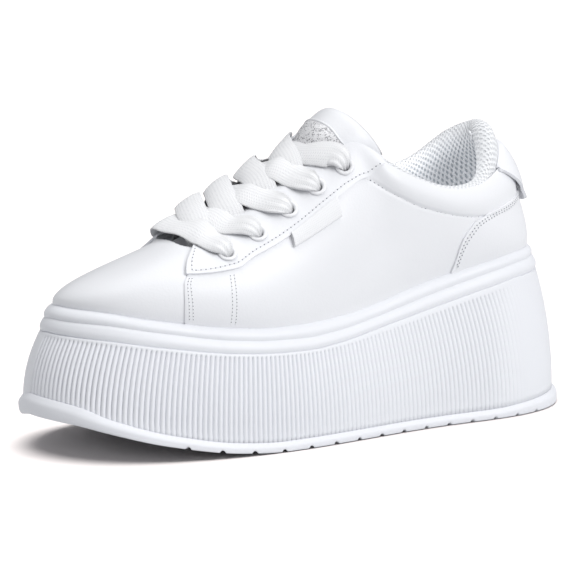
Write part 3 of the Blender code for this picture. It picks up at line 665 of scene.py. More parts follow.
def oval(shift):
    """Distance from the nearest hole of one of the two interleaved sets."""
    x = math_node(mesh_group, "FRACT", math_node(mesh_group, "ADD", step_x, shift))
    y = math_node(mesh_group, "FRACT", math_node(mesh_group, "ADD", step_y, shift))
    x = math_node(mesh_group, "MULTIPLY", math_node(mesh_group, "SUBTRACT", x, 0.5), 1.25)
    y = math_node(mesh_group, "SUBTRACT", y, 0.5)
    square = math_node(mesh_group, "MULTIPLY", x, x)
    return math_node(mesh_group, "SQRT", math_node(mesh_group, "MULTIPLY_ADD", y, y, square))


nearest = math_node(mesh_group, "MINIMUM", oval(10.0), oval(10.5))
mesh_group.links.new(smooth_step(mesh_group, nearest, 0.10, 0.36), mesh_out["Height"])
mesh_group.links.new(smooth_step(mesh_group, nearest, 0.26, 0.13), mesh_out["Hole"])


# %% A material with its shader
def finish_of(name, colour, roughness, **constants):
    """A material, its tree, its shader, and the object coordinates for its patterns."""
    material = bpy.data.materials.new(name)
    material.use_nodes = True
    tree = material.node_tree
    shader = tree.nodes["Principled BSDF"]
    shader.inputs["Base Color"].default_value = (*colour, 1.0)
    shader.inputs["Roughness"].default_value = roughness
    for key, value in constants.items():
        shader.inputs[key.replace("_", " ")].default_value = value
    return material, tree, shader, tree.nodes.new("ShaderNodeTexCoord").outputs


def use_group(tree, group, **inputs):
    """One node group placed in a material; names with spaces are written with underscores."""
    named = {key.replace("_", " "): value for key, value in inputs.items()}
    return add_node(tree, "ShaderNodeGroup", named, node_tree=group).outputs


def bumped(tree, shader, height, distance, strength=1.0):
    """Feed a height to the shader's normal; distance is in metres."""
    bump = add_node(
        tree, "ShaderNodeBump", {"Height": height, "Distance": distance, "Strength": strength}
    )
    tree.links.new(bump.outputs[0], shader.inputs["Normal"])


# %% Leather, foam and rubber
WHITE, SHADE = (0.82, 0.828, 0.856), (0.66, 0.675, 0.71)


def coated(name, colour, roughness, cell, depth, marks, **constants):
    """White coated surface: fine grain, faint handling marks, a little change in gloss."""
    material, tree, shader, coords = finish_of(name, colour, roughness, **constants)
    grain = use_group(tree, grain_group, Vector=coords["Object"], Cell=cell, Depth=1.0)
    worn = use_group(
        tree,
        marks_group,
        Vector=coords["Object"],
        Colour=(*colour, 1.0),
        Mark_Colour=(*SHADE, 1.0),
        Amount=marks,
    )
    tree.links.new(worn["Colour"], shader.inputs["Base Color"])
    spread = {0: grain["Tone"], 1: 0.3, 2: 0.7, 3: roughness - 0.04, 4: roughness + 0.05}
    gloss = add_node(tree, "ShaderNodeMapRange", spread)
    tree.links.new(gloss.outputs[0], shader.inputs["Roughness"])
    bumped(tree, shader, grain["Height"], depth)
    return material


leather = coated("coated_leather", WHITE, 0.42, 1100.0, 0.00004, 0.06, Specular_IOR_Level=0.45)
edge_leather = coated("folded_leather", (0.83, 0.838, 0.868), 0.45, 1100.0, 0.00004, 0.05)
foam = coated("moulded_foam", (0.80, 0.812, 0.85), 0.46, 1500.0, 0.00003, 0.12)
rubber = coated("outsole_rubber", (0.81, 0.822, 0.862), 0.5, 700.0, 0.00005, 0.16)
enamel = coated("eyelet_enamel", (0.83, 0.835, 0.855), 0.28, 600.0, 0.00001, 0.05)


# %% Lace, footbed and label cloth
def woven(name, colour, gap_colour, across, along, slant, depth, sheen):
    """Woven cloth whose threads follow the piece's UV map, in millimetres."""
    material, tree, shader, coords = finish_of(name, colour, 0.85, Sheen_Weight=sheen, Sheen_Roughness=0.5)
    threads = use_group(tree, weave_group, Vector=coords["UV"], Across=across, Along=along, Slant=slant)
    fuzz = use_group(tree, grain_group, Vector=coords["Object"], Cell=2400.0, Depth=0.6)
    tone = mix_colour(tree, threads["Gap"], (*colour, 1.0), (*gap_colour, 1.0))
    tree.links.new(tone, shader.inputs["Base Color"])
    bumped(tree, shader, math_node(tree, "MULTIPLY_ADD", fuzz["Height"], 0.5, threads["Height"]), depth)
    return material


cotton = woven("lace_cotton", (0.885, 0.89, 0.905), (0.80, 0.808, 0.83), 0.9, 1.15, 0.9, 0.000065, 0.3)
footbed_cloth = woven("footbed_cloth", (0.78, 0.79, 0.82), (0.52, 0.54, 0.58), 1.1, 1.1, 0.0, 0.00012, 0.2)
label_cloth = woven("label_ribbon", (0.86, 0.866, 0.885), (0.80, 0.808, 0.835), 2.2, 1.6, 0.0, 0.00003, 0.15)

# %% Collar mesh: its holes are pressed nearly shut on the roll, and open inside the shoe
HOLE_WIDE, HOLE_HIGH = 4.2, 4.4
ROLL_ENDS, INSIDE_STARTS, OPEN_ON_ROLL = 20.0, 34.0, 0.25
MESH_THREAD, MESH_HOLE = (0.86, 0.872, 0.895, 1), (0.44, 0.48, 0.52, 1)

spacer, tree, shader, coords = finish_of("collar_mesh", (0.80, 0.82, 0.85), 0.8, Sheen_Weight=0.15)
holes = use_group(tree, mesh_group, Vector=coords["UV"], Wide=HOLE_WIDE, High=HOLE_HIGH)
sheet = add_node(tree, "ShaderNodeSeparateXYZ", {0: coords["UV"]})
inside = smooth_step(tree, sheet.outputs[1], ROLL_ENDS, INSIDE_STARTS)
opened = math_node(tree, "MULTIPLY_ADD", inside, 1 - OPEN_ON_ROLL, OPEN_ON_ROLL)
tone = mix_colour(tree, math_node(tree, "MULTIPLY", holes["Hole"], opened), MESH_THREAD, MESH_HOLE)
tree.links.new(tone, shader.inputs["Base Color"])
bumped(tree, shader, holes["Height"], 0.0005)

# %% Thread, painted shade for the stitch holes, and glitter
thread, tree, shader, coords = finish_of("sewing_thread", (0.86, 0.865, 0.88), 0.6, Sheen_Weight=0.2)
strands = {"Vector": coords["Object"], "Scale": 900.0}
twist = add_node(tree, "ShaderNodeTexWave", strands, bands_direction="DIAGONAL")
bumped(tree, shader, twist.outputs[1], 0.00008)

# Painted shade: this dark colour stands for the shade inside each stitch hole.
needle_shade, tree, shader, coords = finish_of("painted_hole_shade", (0.20, 0.21, 0.25), 0.9)
hollow = use_group(tree, grain_group, Vector=coords["Object"], Cell=900.0, Depth=1.0)
bumped(tree, shader, hollow["Height"], 0.00005)

FLAKES, DARK_FLAKE, BRIGHT_FLAKE = 1650.0, (0.34, 0.34, 0.36, 1), (0.95, 0.95, 0.97, 1)
glitter, tree, shader, coords = finish_of("tongue_glitter", (0.85, 0.85, 0.87), 0.35, Metallic=0.1)
flake = add_node(tree, "ShaderNodeTexVoronoi", {"Vector": coords["Object"], "Scale": FLAKES})
lit = add_node(tree, "ShaderNodeSeparateColor", {0: flake.outputs["Color"]})
flash = mix_colour(tree, smooth_step(tree, lit.outputs[0], 0.02, 0.42), DARK_FLAKE, BRIGHT_FLAKE)
tree.links.new(flash, shader.inputs["Base Color"])
bumped(tree, shader, lit.outputs[1], 0.0006)
print("materials:", len(bpy.data.materials))

# %% [markdown]
# ## The ribbed platform
#
# The platform is one block of light foam, poured in a steel mould. Its side carries some 265
# upright ribs that the mould leaves, all round but for a smooth patch at the toe tip and one at
# the back of the heel. A rib is only two and a half millimetres wide, so a texture could fake it,
# but the ribs show along the silhouette and catch the light, so they are real shape here: the
# wall is one long grid, eight columns to a rib, pushed in and out by a rounded wave.

# %% Ribbed wall
RIBS_ROUND, RIB_DEEP = 265, 1.75
# The columns of one rib, close together at the groove.
RIB_STEPS = np.array([0.0, 0.06, 0.16, 0.32, 0.50, 0.68, 0.84, 0.94])
WALL_HEAD = RIM_PROUD + WALL_LEAN  # how far in from the rim the wall ends at its top
WALL_SUNK, WALL_OVER, WALL_THICK = 0.9, 0.3, 3.2  # below the rim's lip, over the ledge, inwards


def rib_wave(turn, y, below, above):
    """How far a rib stands out, at a distance below the ledge and above the foot: round tops,
    narrow grooves, and none on the smooth patches at the toe tip and the back of the heel."""
    phase = turn * RIBS_ROUND + 0.5
    bead = np.sqrt(np.clip(1.0 - (2.0 * (phase - np.rint(phase))) ** 2 * 0.97, 0, 1))
    round_toe = np.abs((turn + 0.52) % 1.0 - 0.5)
    fade = ease(round_toe, 0.0222, 0.0248) * (1 - ease(y, 80.0, 107.0))
    start = 0.5 + 1.1 * ease(y, -20.0, 40.0)
    ends = ease(below, start, start + 1.3)
    shallow = (1.0 - 0.45 * ease(y, -45.0, 30.0)) * (0.5 + 0.5 * ease(above, 0.8, 4.0))
    return RIB_DEEP * (bead - 1.0) * fade * ends * shallow


def wall_points():
    """Closed section of the wall at every column: outer face up, then back down inside."""
    turn = (np.arange(RIBS_ROUND)[:, None] + RIB_STEPS).ravel() / RIBS_ROUND
    turn = np.append(turn, 1.0)
    foot, _ = outline(RIM_PROUD, turn)
    head, _ = outline(WALL_HEAD, turn)
    _, face = outline(0.5 * (RIM_PROUD + WALL_HEAD), turn)
    low, high = level_at(RIM, *foot.T) - WALL_SUNK, level_at(LEDGE, *head.T) + WALL_OVER
    tall = high - low
    depths = [tall * part for part in (1.0, 0.94, 0.87, 0.75, 0.58, 0.41, 0.27, 0.165)]
    depths += [np.full(len(turn), deep) for deep in (3.9, 3.2, 2.7, 2.2, 1.8, 1.4, 1.0, 0.6, 0.0)]
    rows = []
    for deep in depths:
        share = 1 - deep / tall
        spot = foot + (head - foot) * (share**2)[:, None]
        wave = rib_wave(turn, spot[:, 1], deep - WALL_OVER, tall - deep - WALL_SUNK)
        spot = spot + face * wave[:, None]
        rows.append(np.column_stack([spot, high - deep]))
    inner, _ = outline(WALL_HEAD + WALL_THICK, turn)
    rows.append(np.column_stack([inner, high]))
    rows.append(np.column_stack([inner, low]))
    rows.append(rows[0])
    return np.array(rows)


wall = laid("platform_wall", wall_points())
dress(wall, foam, "midsole", "midsole")

# %% [markdown]
# ## The two bands and the foot cup
#
# Above the ribs run two rounded bands, each set a little further in, and the upper one rolls in
# to meet the leather. They are swept round the sole from one closed section, whose inner side is
# the cup that the insole lies in. A section drawn as a row of places is easier to change than a
# stack of bevels, and the crease between the bands stays crisp.

# %% Bands
BAND_ROUND = 420  # columns once round

# Sections of the bands: share of the height, how far in from the ledge.
LOWER_BAND = (
    (0.00, 1.25),
    (0.06, 0.80),
    (0.14, 0.40),
    (0.26, 0.12),
    (0.40, 0.00),
    (0.55, 0.22),
    (0.70, 0.68),
    (0.84, 1.25),
    (0.94, 1.85),
    (1.00, 2.45),
)
UPPER_BAND = (
    (0.00, 2.80),
    (0.06, 2.50),
    (0.15, 2.25),
    (0.26, 2.12),
    (0.40, 2.22),
    (0.52, 2.56),
    (0.63, 3.02),
    (0.75, 3.70),
    (0.88, 4.80),
    (0.97, 6.10),
    (1.00, 7.00),
)


def band_section():
    """Section of the bands: rows of (inset, level below, level above, share, lift)."""
    rows = [(WALL_HEAD + 3.0, LEDGE, LEDGE, 0.0, -0.2)]
    for t in np.linspace(0.0, 1.0, 15):
        rows.append((WALL_HEAD + float(by_rows(t, LOWER_BAND)), LEDGE, GROOVE, t, 0.0))
    for t in np.linspace(0.03, 1.0, 17):
        rows.append((WALL_HEAD + float(by_rows(t, UPPER_BAND)), GROOVE, FEATHER, t, -1.1 * t))
    inner = FEATHER_INSET + UPPER_WALL + 0.9
    rows += [(FEATHER_INSET + 1.4, FEATHER, FEATHER, 0.0, -1.5)]
    rows += [(inner, FEATHER, FEATHER, 0.0, -1.6), (inner, FEATHER, FEATHER, 0.0, -INSOLE_DROP - 2.0)]
    return rows + rows[:1]


def band_points():
    """The bands' section swept once round the sole."""
    turn = np.linspace(0.0, 1.0, BAND_ROUND + 1)
    rows = []
    for inset, low, high, share, lift in band_section():
        ring = sole_ring(inset, low, lift, turn) * (1 - share) + sole_ring(inset, high, lift, turn) * share
        rows.append(ring)
    return np.array(rows)


bands = laid("platform_bands", band_points())
dress(bands, foam, "midsole", "midsole")

# %% [markdown]
# ## The outsole
#
# Under the foam lies a rubber outsole. Its rim stands a little proud all round, rolls up over the
# toe, and is notched where the grooves of the tread run out, every fourteen millimetres and
# wider apart under the toes. The rim is a closed section swept round like the bands, with its
# lower edge lifted at each notch; the tread is a plate across the whole sole with grooves pressed
# into it.

# %% Outsole rim
NOTCH_FIRST, NOTCH_LAST, NOTCH_PITCH, NOTCH_SPREAD = -87.0, 115.0, 13.6, 2.5
NOTCH_WIDE, NOTCH_DEEP = 2.5, 1.2
NOTCH_EVEN = (-85.0, 5.0)  # the spacing shrinks between these places and is even behind them
notch_places = [NOTCH_FIRST]
while notch_places[-1] < NOTCH_LAST:
    wider = NOTCH_SPREAD * (1.0 - float(ease(notch_places[-1], *NOTCH_EVEN)))
    notch_places.append(notch_places[-1] + NOTCH_PITCH + wider)
notch_places = np.array(notch_places[:-1])
RIM_ROUND, RIM_DEEP = 1300, 11.0  # columns once round; how far in the rim reaches


def from_notch(y):
    """Distance from y to the middle of the nearest notch."""
    return np.min(np.abs(np.asarray(y)[..., None] - notch_places), axis=-1)


def notch(y):
    """How far the rim's lower edge is lifted at y, for a rounded opening at each notch."""
    off = from_notch(y) / (NOTCH_WIDE / 2)
    return NOTCH_DEEP * np.sqrt(np.clip(1 - off**2, 0, 1))


# Lower edge of the rim: how far in, lift above the underside, share of a notch that reaches here.
RIM_FOOT = (
    (RIM_DEEP, 0.9, 1.0),
    (5.0, 0.0, 1.0),
    (0.6, 0.0, 1.0),
    (0.25, 0.1, 1.0),
    (0.08, 0.35, 0.9),
    (0.02, 0.9, 0.5),
    (0.0, 2.0, 0.0),
)
# Upper edge of the rim: how far in, how far below its height, for a rim 5 mm tall.
RIM_EDGE = (
    (0.00, 3.00),
    (0.10, 2.40),
    (0.45, 1.85),
    (0.95, 1.40),
    (1.45, 1.00),
    (1.85, 0.62),
    (2.10, 0.42),
    (2.35, 0.40),
    (2.60, 0.50),
    (3.90, 0.60),
)


def rim_points():
    """Closed section of the rim all round: under, up the outside, over its lip and back."""
    turn = np.linspace(0.0, 1.0, RIM_ROUND + 1)
    spot, _ = outline(0.0, turn)
    y = spot[:, 1]
    low, high = level_at(UNDERSIDE, *spot.T), level_at(RIM, *spot.T)
    cut, tall = notch(y), high - low
    grow = 1.0 + 0.55 * ease(tall, 5.6, 9.0)
    toe = ease(-y, 100.0, 135.0)
    rows = []
    for inset, rise, share in RIM_FOOT:
        base = sole_ring(inset, UNDERSIDE, rise, turn, -1.1 * toe * max(0.0, 1.0 - rise / 2.6))
        base[:, 2] += cut * share
        rows.append(base)
    for inset, drop in RIM_EDGE:
        ring = sole_ring(inset, UNDERSIDE, 0.0, turn)
        ring[:, 2] = np.maximum(high - drop * grow, low + 2.0 + (3.00 - drop) * 0.1)
        rows.append(ring)
    ring = sole_ring(RIM_DEEP, UNDERSIDE, 0.0, turn)
    ring[:, 2] = high - 0.2
    rows.append(ring)
    rows.append(rows[0])
    return np.array(rows)


rim = laid("outsole_rim", rim_points())
dress(rim, rubber, "outsole", "outsole")

# %% Outsole tread
TREAD_ROWS, TREAD_COLUMNS, TREAD_THICK, TREAD_INSET = 560, 72, 2.6, 9.0
TREAD_WAVE, TREAD_BEND, GROOVE_HALF = 1.6, 5.0, 1.3


def plate_inside(inset, level, rows, columns):
    """A plate whose rows each join two facing points of a ring, and the share across it."""
    turn = np.linspace(0.0, 0.5, rows + 1)
    right, left = sole_ring(inset, level, 0.0, turn), sole_ring(inset, level, 0.0, 1.0 - turn)
    share = np.linspace(0.0, 1.0, columns + 1)[None, :, None]
    return right[:, None, :] * (1 - share) + left[:, None, :] * share, share[..., 0]


def tread_points():
    """A plate inside the rim, with a wavy groove at each notch and three fine ones between."""
    grid, _ = plate_inside(TREAD_INSET, UNDERSIDE, TREAD_ROWS, TREAD_COLUMNS)
    x, y = grid[..., 0], grid[..., 1]
    waved = y + TREAD_WAVE * np.sin(x / TREAD_BEND)
    main = np.clip(1 - (from_notch(waved) / GROOVE_HALF) ** 2, 0, 1)
    fine = 0.5 * (1 + np.cos(2 * np.pi * waved / (NOTCH_PITCH / 4)))
    hollow = 1.4 * np.sqrt(main) + 0.5 * ease(fine, 0.6, 0.9)
    grid[..., 2] = level_at(UNDERSIDE, x, y) + 0.25 + hollow
    return grid


tread = laid("outsole_tread", tread_points())
modified(tread, "SOLIDIFY", thickness=TREAD_THICK * MM, offset=-1.0)
dress(tread, rubber, "outsole", "outsole")

# %% [markdown]
# ## The insole
#
# A soft footbed fills the cup. It is a thin foam sheet with cloth on top, a little dished from
# side to side, so it is made as a plate whose edge is rolled over.

# %% Insole
INSOLE_EDGE = FEATHER_INSET + UPPER_WALL + 1.9
INSOLE_ROWS, INSOLE_COLUMNS = 120, 30
INSOLE_TOP, INSOLE_DISH, INSOLE_ROLL = 4.2, 1.2, 1.4


def insole_points():
    """Top of the footbed, higher at its sides, with its edge rolled down."""
    grid, share = plate_inside(INSOLE_EDGE, FEATHER, INSOLE_ROWS, INSOLE_COLUMNS)
    edge = (2 * share - 1) ** 2
    ends = np.linspace(0, 1, INSOLE_ROWS + 1)[:, None]
    rolled = 1.1 * (edge**8 + (2 * ends - 1) ** 40)
    base = level_at(FEATHER, grid[..., 0], grid[..., 1]) - INSOLE_DROP + INSOLE_TOP
    grid[..., 2] = base + INSOLE_DISH * edge - np.minimum(rolled, INSOLE_ROLL)
    return grid[:, ::-1]


insole = laid("footbed", insole_points(), (60.0, 240.0))
thicken(insole, 3.2, 0.5)
dress(insole, footbed_cloth, "insole", "insole")

# %% [markdown]
# ## The leather panels
#
# A plain vamp covers the toe. The two quarters lie over it and run back to the heel. Where a
# quarter meets the collar it is padded: the leather swells between a line of stitches and its own
# top edge. How far the leather stands off the last is one function of the place, so the panels,
# the stitches and the overlays all follow the same swelling and the same soft creases.

# %% How far the leather stands off
LEATHER_EDGE = (
    # round, up the rib: top edge of the leather, folded to the lateral half
    (0.0, 0.985),
    (5.5, 0.985),
    (6.25, 0.962),
    (7.30, 0.960),
    (8.40, 0.955),
    (9.14, 0.940),
    (9.52, 0.930),
    (10.20, 0.900),
    (10.61, 0.865),
    (12.0, 0.845),
)
PAD_LINE = (
    # stitched line that holds the collar padding
    (4.9, 0.720),
    (5.8, 0.705),
    (6.34, 0.700),
    (6.95, 0.672),
    (7.54, 0.655),
    (8.19, 0.612),
    (8.89, 0.560),
    (10.0, 0.500),
    (12.0, 0.440),
)
PAD_SWELL, PAD_TROUGH = 2.3, 0.55
QUARTER_OUT, QUARTER_THICK, VAMP_THICK = 0.65, 1.3, 1.2


def folded(u):
    """Place round the ribs, folded to the lateral half."""
    u = np.asarray(u, float) % ROUND
    return np.minimum(u, ROUND - u)


def relief(u, v):
    """How far the leather stands off the last at a place: padding, its seam, and soft creases."""
    w, v = np.broadcast_arrays(folded(u), np.asarray(v, float))
    edge, line = by_rows(w, LEATHER_EDGE), by_rows(w, PAD_LINE)
    share = np.clip((v - line) / (edge - line), 0, 1)
    pad = PAD_SWELL * ease(w, 5.0, 6.4) * np.sin(np.pi * share) ** 0.75
    seam = PAD_TROUGH * np.exp(-(((v - line) / 0.014) ** 2)) * ease(w, 5.0, 5.5) * (1 - ease(w, 8.9, 9.3))
    foot = 0.15 * np.exp(-(((v - 0.02) / 0.05) ** 2))  # drawn in where it meets the platform
    vamp = 0.5 * np.exp(-(((v - 0.62) / 0.10) ** 2) - ((w - 1.35) / 0.45) ** 2)
    waist = 0.45 * np.exp(-(((v - 0.30 - 0.09 * (w - 5)) / 0.09) ** 2) - ((w - 4.9) / 1.3) ** 2)
    return pad - seam - foot - vamp - waist


def place_of(u, v, off):
    """Point at a place and a height above the relief."""
    return upper_point(u, v, relief(u, v) + off)


# %% Eyelet axes, and holes for them
SIDES = ((1, "lateral"), (-1, "medial"))
EYELET_LIFT, PUNCH_RADIUS, PUNCH_DEEP = 1.55, 3.3, 7.0


def eyelet(k, side):
    """Middle of an eyelet on the facing's outer face, and its axis."""
    where, rise = mirrored(EYELETS[k][1], side), EYELETS[k][2]
    axis = upper_face(where, rise)
    return upper_point(where, rise) + axis * EYELET_LIFT, axis


EYELET_SPOTS = {(k, side): eyelet(k, side) for side, _ in SIDES for k in range(len(EYELETS))}


def punch(piece, radius=PUNCH_RADIUS):
    """Delete the faces of a panel round every eyelet's axis."""
    centre = np.empty(len(piece.data.polygons) * 3, np.float32)
    piece.data.polygons.foreach_get("center", centre)
    centre = centre.reshape(-1, 3) / MM - CENTRE
    inside = np.zeros(len(centre), bool)
    for middle, axis in EYELET_SPOTS.values():
        away = centre - middle
        deep = away @ axis
        aside = np.linalg.norm(away - deep[:, None] * axis, axis=1)
        inside |= (aside < radius) & (np.abs(deep) < PUNCH_DEEP)
    only(piece)
    bpy.ops.object.mode_set(mode="EDIT")
    bpy.ops.mesh.select_mode(type="FACE")
    bpy.ops.mesh.select_all(action="DESELECT")
    bpy.ops.object.mode_set(mode="OBJECT")
    piece.data.polygons.foreach_set("select", inside)
    bpy.ops.object.mode_set(mode="EDIT")
    bpy.ops.mesh.delete(type="FACE")
    bpy.ops.object.mode_set(mode="OBJECT")
    return piece


# %% Vamp
SKIRT = 0.03  # how far up a rib, below the feather line, the leather is tucked in
VAMP_ROUND, VAMP_TOP = 2.6, 0.992

u, share = sheet_of(-VAMP_ROUND, VAMP_ROUND, 130, 90)
vamp = laid("vamp", place_of(u, -SKIRT + (VAMP_TOP + SKIRT) * share, 0.0))
punch(vamp)
thicken(vamp, VAMP_THICK, 0.45, 3)
dress(vamp, leather, "upper", "upper")

# %% Quarters
HEEL_SEAM = 12.02  # just past the middle of the heel, so that the quarters meet
QUARTER_FRONT = (
    # up the rib, round: the edge that lies on the vamp
    (-0.03, 1.425),
    (0.10, 1.405),
    (0.25, 1.365),
    (0.40, 1.295),
    (0.50, 1.25),
    (1.00, 1.25),
)


def outwards(points, side):
    """A medial panel is a mirror image, so its columns are turned round to face outwards."""
    return points if side > 0 else points[:, ::-1]


def quarter(side, word):
    """One side of the shoe, from the edge that lies on the vamp to the heel seam."""
    across, share = sheet_of(0, 1, 300, 84)
    front = by_rows(-SKIRT + share, QUARTER_FRONT)
    u = front + (HEEL_SEAM - front) * across
    v = -SKIRT + (by_rows(u, LEATHER_EDGE) + SKIRT) * share
    points = place_of(mirrored(u, side), v, QUARTER_OUT)
    piece = laid(f"quarter_{word}", outwards(points, side))
    punch(piece)
    thicken(piece, QUARTER_THICK, 0.35)
    return dress(piece, leather, "upper", "upper")


for side, word in SIDES:
    quarter(side, word)

# %% [markdown]
# ## Collar roll and lining
#
# Inside, the shoe is lined with open spacer mesh. At the collar it wraps over a roll of foam,
# thick at the heel and thinner towards the front, and comes down a few millimetres on the
# outside to the leather's edge. At the heel the roll stands up in a rounded dome, more on the
# medial side. It is one sheet: each column of the grid starts under the leather's edge, runs up,
# turns over the roll's crest in a half circle, and goes down inside.

# %% Collar lining
ROLL_RADIUS = (
    # round, radius of the roll
    (0.0, 0.9),
    (4.6, 0.9),
    (5.6, 1.3),
    (7.0, 2.3),
    (8.4, 2.8),
    (9.6, 3.7),
    (10.6, 4.8),
    (12.0, 5.4),
)
LINING_IN, LINING_LOW, PAD_TAPER = 1.5, -0.10, 24.0
HEEL_RISE = (
    # round, how much the roll's crest stands above the topline, lateral and medial
    (0.0, 0.0, 0.0),
    (8.8, 0.0, 0.0),
    (9.4, 0.2, 1.2),
    (9.9, 0.8, 3.4),
    (10.4, 2.6, 4.9),
    (10.9, 4.1, 4.5),
    (11.4, 4.3, 3.6),
    (12.0, 3.2, 3.2),
)


def rib_span(u):
    """Millimetres per whole rise, near the topline."""
    return np.linalg.norm(upper_point(u, 1.0) - upper_point(u, 0.8), axis=-1) / 0.2


def lining_points():
    """The lining from under the leather's edge, over the roll, and down inside."""
    u = np.linspace(0.0, ROUND, 481)
    w, span = folded(u), rib_span(u)
    radius, edge = by_rows(w, ROLL_RADIUS), by_rows(w, LEATHER_EDGE)
    start = edge - 1.0 / span
    heel = np.where(u < ROUND / 2, by_rows(w, HEEL_RISE, 1), by_rows(w, HEEL_RISE, 2))
    crest = 1.0 + (heel - radius) / span
    rows = []
    for share in np.linspace(0, 1, 6):
        rise = start + (np.maximum(crest, start + 0.001) - start) * share
        swell = 0.5 * ease(w, 6.0, 9.0)
        rows.append(upper_point(u, rise, -0.35 + (0.35 + swell) * ease(share, 0, 0.6)))
    middle = upper_point(u, crest, -radius)
    out = unit(upper_point(u, crest, 1.0) - upper_point(u, crest))
    up = unit(upper_point(u, crest + 0.01) - upper_point(u, crest))
    for angle in np.linspace(0, np.pi, 13)[1:]:
        grow = radius + 0.5 * ease(w, 6.0, 9.0) * np.cos(angle / 2) ** 2
        ahead, over = np.cos(angle) * grow, np.sin(angle) * radius
        rows.append(middle + out * ahead[:, None] + up * over[:, None])
    for share in np.linspace(0, 1, 31)[1:] ** 1.15:
        rise = crest + (LINING_LOW - crest) * share
        depth = (crest - rise) * span
        thick = 2 * radius + (LINING_IN - 2 * radius) * ease(depth, 2.0, PAD_TAPER)
        rows.append(upper_point(u, rise, -np.maximum(thick, LINING_IN)))
    return np.array(rows)


lining = laid("collar_lining", lining_points(), (620.0, 75.0))
punch(lining, 3.4)
thicken(lining, 0.7)
dress(lining, spacer, "upper", "upper")

# %% [markdown]
# ## Overlays
#
# On the quarters lie the facings that carry the eyelets, the heel counter, and the heel tab, a
# flap that is sewn below the collar roll and hangs free. The facings reach past the topline and
# lap over the tongue. Each overlay is a panel of its own in slightly brighter leather, and its
# thickness and rounded edge are what tell it from the leather below.

# %% Facings
FACING_EDGE = (
    # round, up the rib: lower edge of a facing
    (1.22, 0.585),
    (2.14, 0.592),
    (2.26, 0.622),
    (2.40, 0.650),
    (2.83, 0.665),
    (3.53, 0.690),
    (5.03, 0.720),
    (6.00, 0.930),
)
FACING_TOP = (
    # round, up the rib: upper edge of a facing, which laps over the tongue
    (1.22, 0.993),
    (1.60, 1.03),
    (2.05, 1.10),
    (2.52, 1.14),
    (3.30, 1.15),
    (3.90, 1.14),
    (4.25, 1.05),
    (4.60, 1.00),
    (6.00, 0.993),
)
FACING_OUT, FACING_THICK, FACING_HOLE = 1.8, 1.1, 3.5


def facing_places(across, along):
    """Place round and up the ribs for shares of a facing."""
    front = FACING_EDGE[0][0] - 0.10 * np.sin(np.pi * along) + 0.10 * along**3
    where = front + (FACING_EDGE[-1][0] - front) * across
    low, high = by_rows(where, FACING_EDGE), by_rows(where, FACING_TOP)
    return where, low + (high - low) * along


def facing(side, word):
    """One facing, a little lifted where it laps over the tongue."""
    across, along = sheet_of(0, 1, 140, 36)
    where, rise = facing_places(across, along)
    points = place_of(mirrored(where, side), rise, FACING_OUT + 0.5 * ease(rise, 1.0, 1.12))
    piece = laid(f"facing_{word}_panel", outwards(points, side))
    punch(piece, FACING_HOLE)
    thicken(piece, FACING_THICK, 0.4, 3)
    return dress(piece, edge_leather, "overlay", f"facing_{word}")


for side, word in SIDES:
    facing(side, word)

# %% Heel counter
COUNTER_EDGE = (
    # round, up the rib: upper edge of the counter
    (7.50, 0.01),
    (7.58, 0.10),
    (7.78, 0.26),
    (7.98, 0.36),
    (8.27, 0.440),
    (8.63, 0.52),
    (9.08, 0.555),
    (9.58, 0.57),
    (10.13, 0.56),
    (11.09, 0.49),
    (12.0, 0.46),
)
COUNTER_OUT, COUNTER_SKIRT = QUARTER_OUT + 1.05, 0.02


def counter_points():
    """The counter, from one of its front corners round the heel to the other."""
    u, share = sheet_of(COUNTER_EDGE[0][0], ROUND - COUNTER_EDGE[0][0], 280, 40)
    top = by_rows(folded(u), COUNTER_EDGE)
    return place_of(u, -COUNTER_SKIRT + (top + COUNTER_SKIRT) * share, COUNTER_OUT)


counter = laid("heel_counter_panel", counter_points())
thicken(counter, 1.0, 0.4, 3)
dress(counter, edge_leather, "overlay", "heel_counter")

# %% Heel tab
TAB_EDGE = (
    # round, up the rib, stand-off of the lower edge
    (10.58, 0.855, 0.5),
    (10.80, 0.700, 1.2),
    (11.15, 0.490, 2.6),
    (11.50, 0.350, 3.6),
    (12.0, 0.300, 3.9),
)
TAB_TOP, TAB_OUT, TAB_SUNK = 0.885, 1.9, 1.4


def tab_points():
    """The flap, standing off at its lower edge and sunk into the collar at its upper one."""
    u, share = sheet_of(TAB_EDGE[0][0], ROUND - TAB_EDGE[0][0], 120, 40)
    w = folded(u)
    low, stand = by_rows(w, TAB_EDGE, 1), by_rows(w, TAB_EDGE, 2)
    rise = low + (TAB_TOP - low) * share
    sunk = TAB_SUNK * ease(share, 0.90, 1.0)
    off = np.maximum(relief(u, rise), 0.6 * (1 - share)) + TAB_OUT + stand * (1 - share) ** 1.2 - sunk
    return upper_point(u, rise, off)


tab = laid("heel_tab_flap", tab_points())
thicken(tab, 1.5, 0.5, 3)
dress(tab, edge_leather, "heel_tab", "heel_tab")

# %% [markdown]
# ## Side label
#
# A small folded ribbon is caught under the lower edge of the lateral facing. It is left bare.
# The ribbon goes down, folds, and comes back up behind itself, so its ends show as a dark slot.

# %% Side label
LABEL_SPAN, LABEL_FOLD, LABEL_TOP = (2.90, 3.76), 0.584, 0.014
LABEL_BEND, LABEL_LEG = 0.85, 0.38  # radius of the fold; share of the ribbon on each side of it


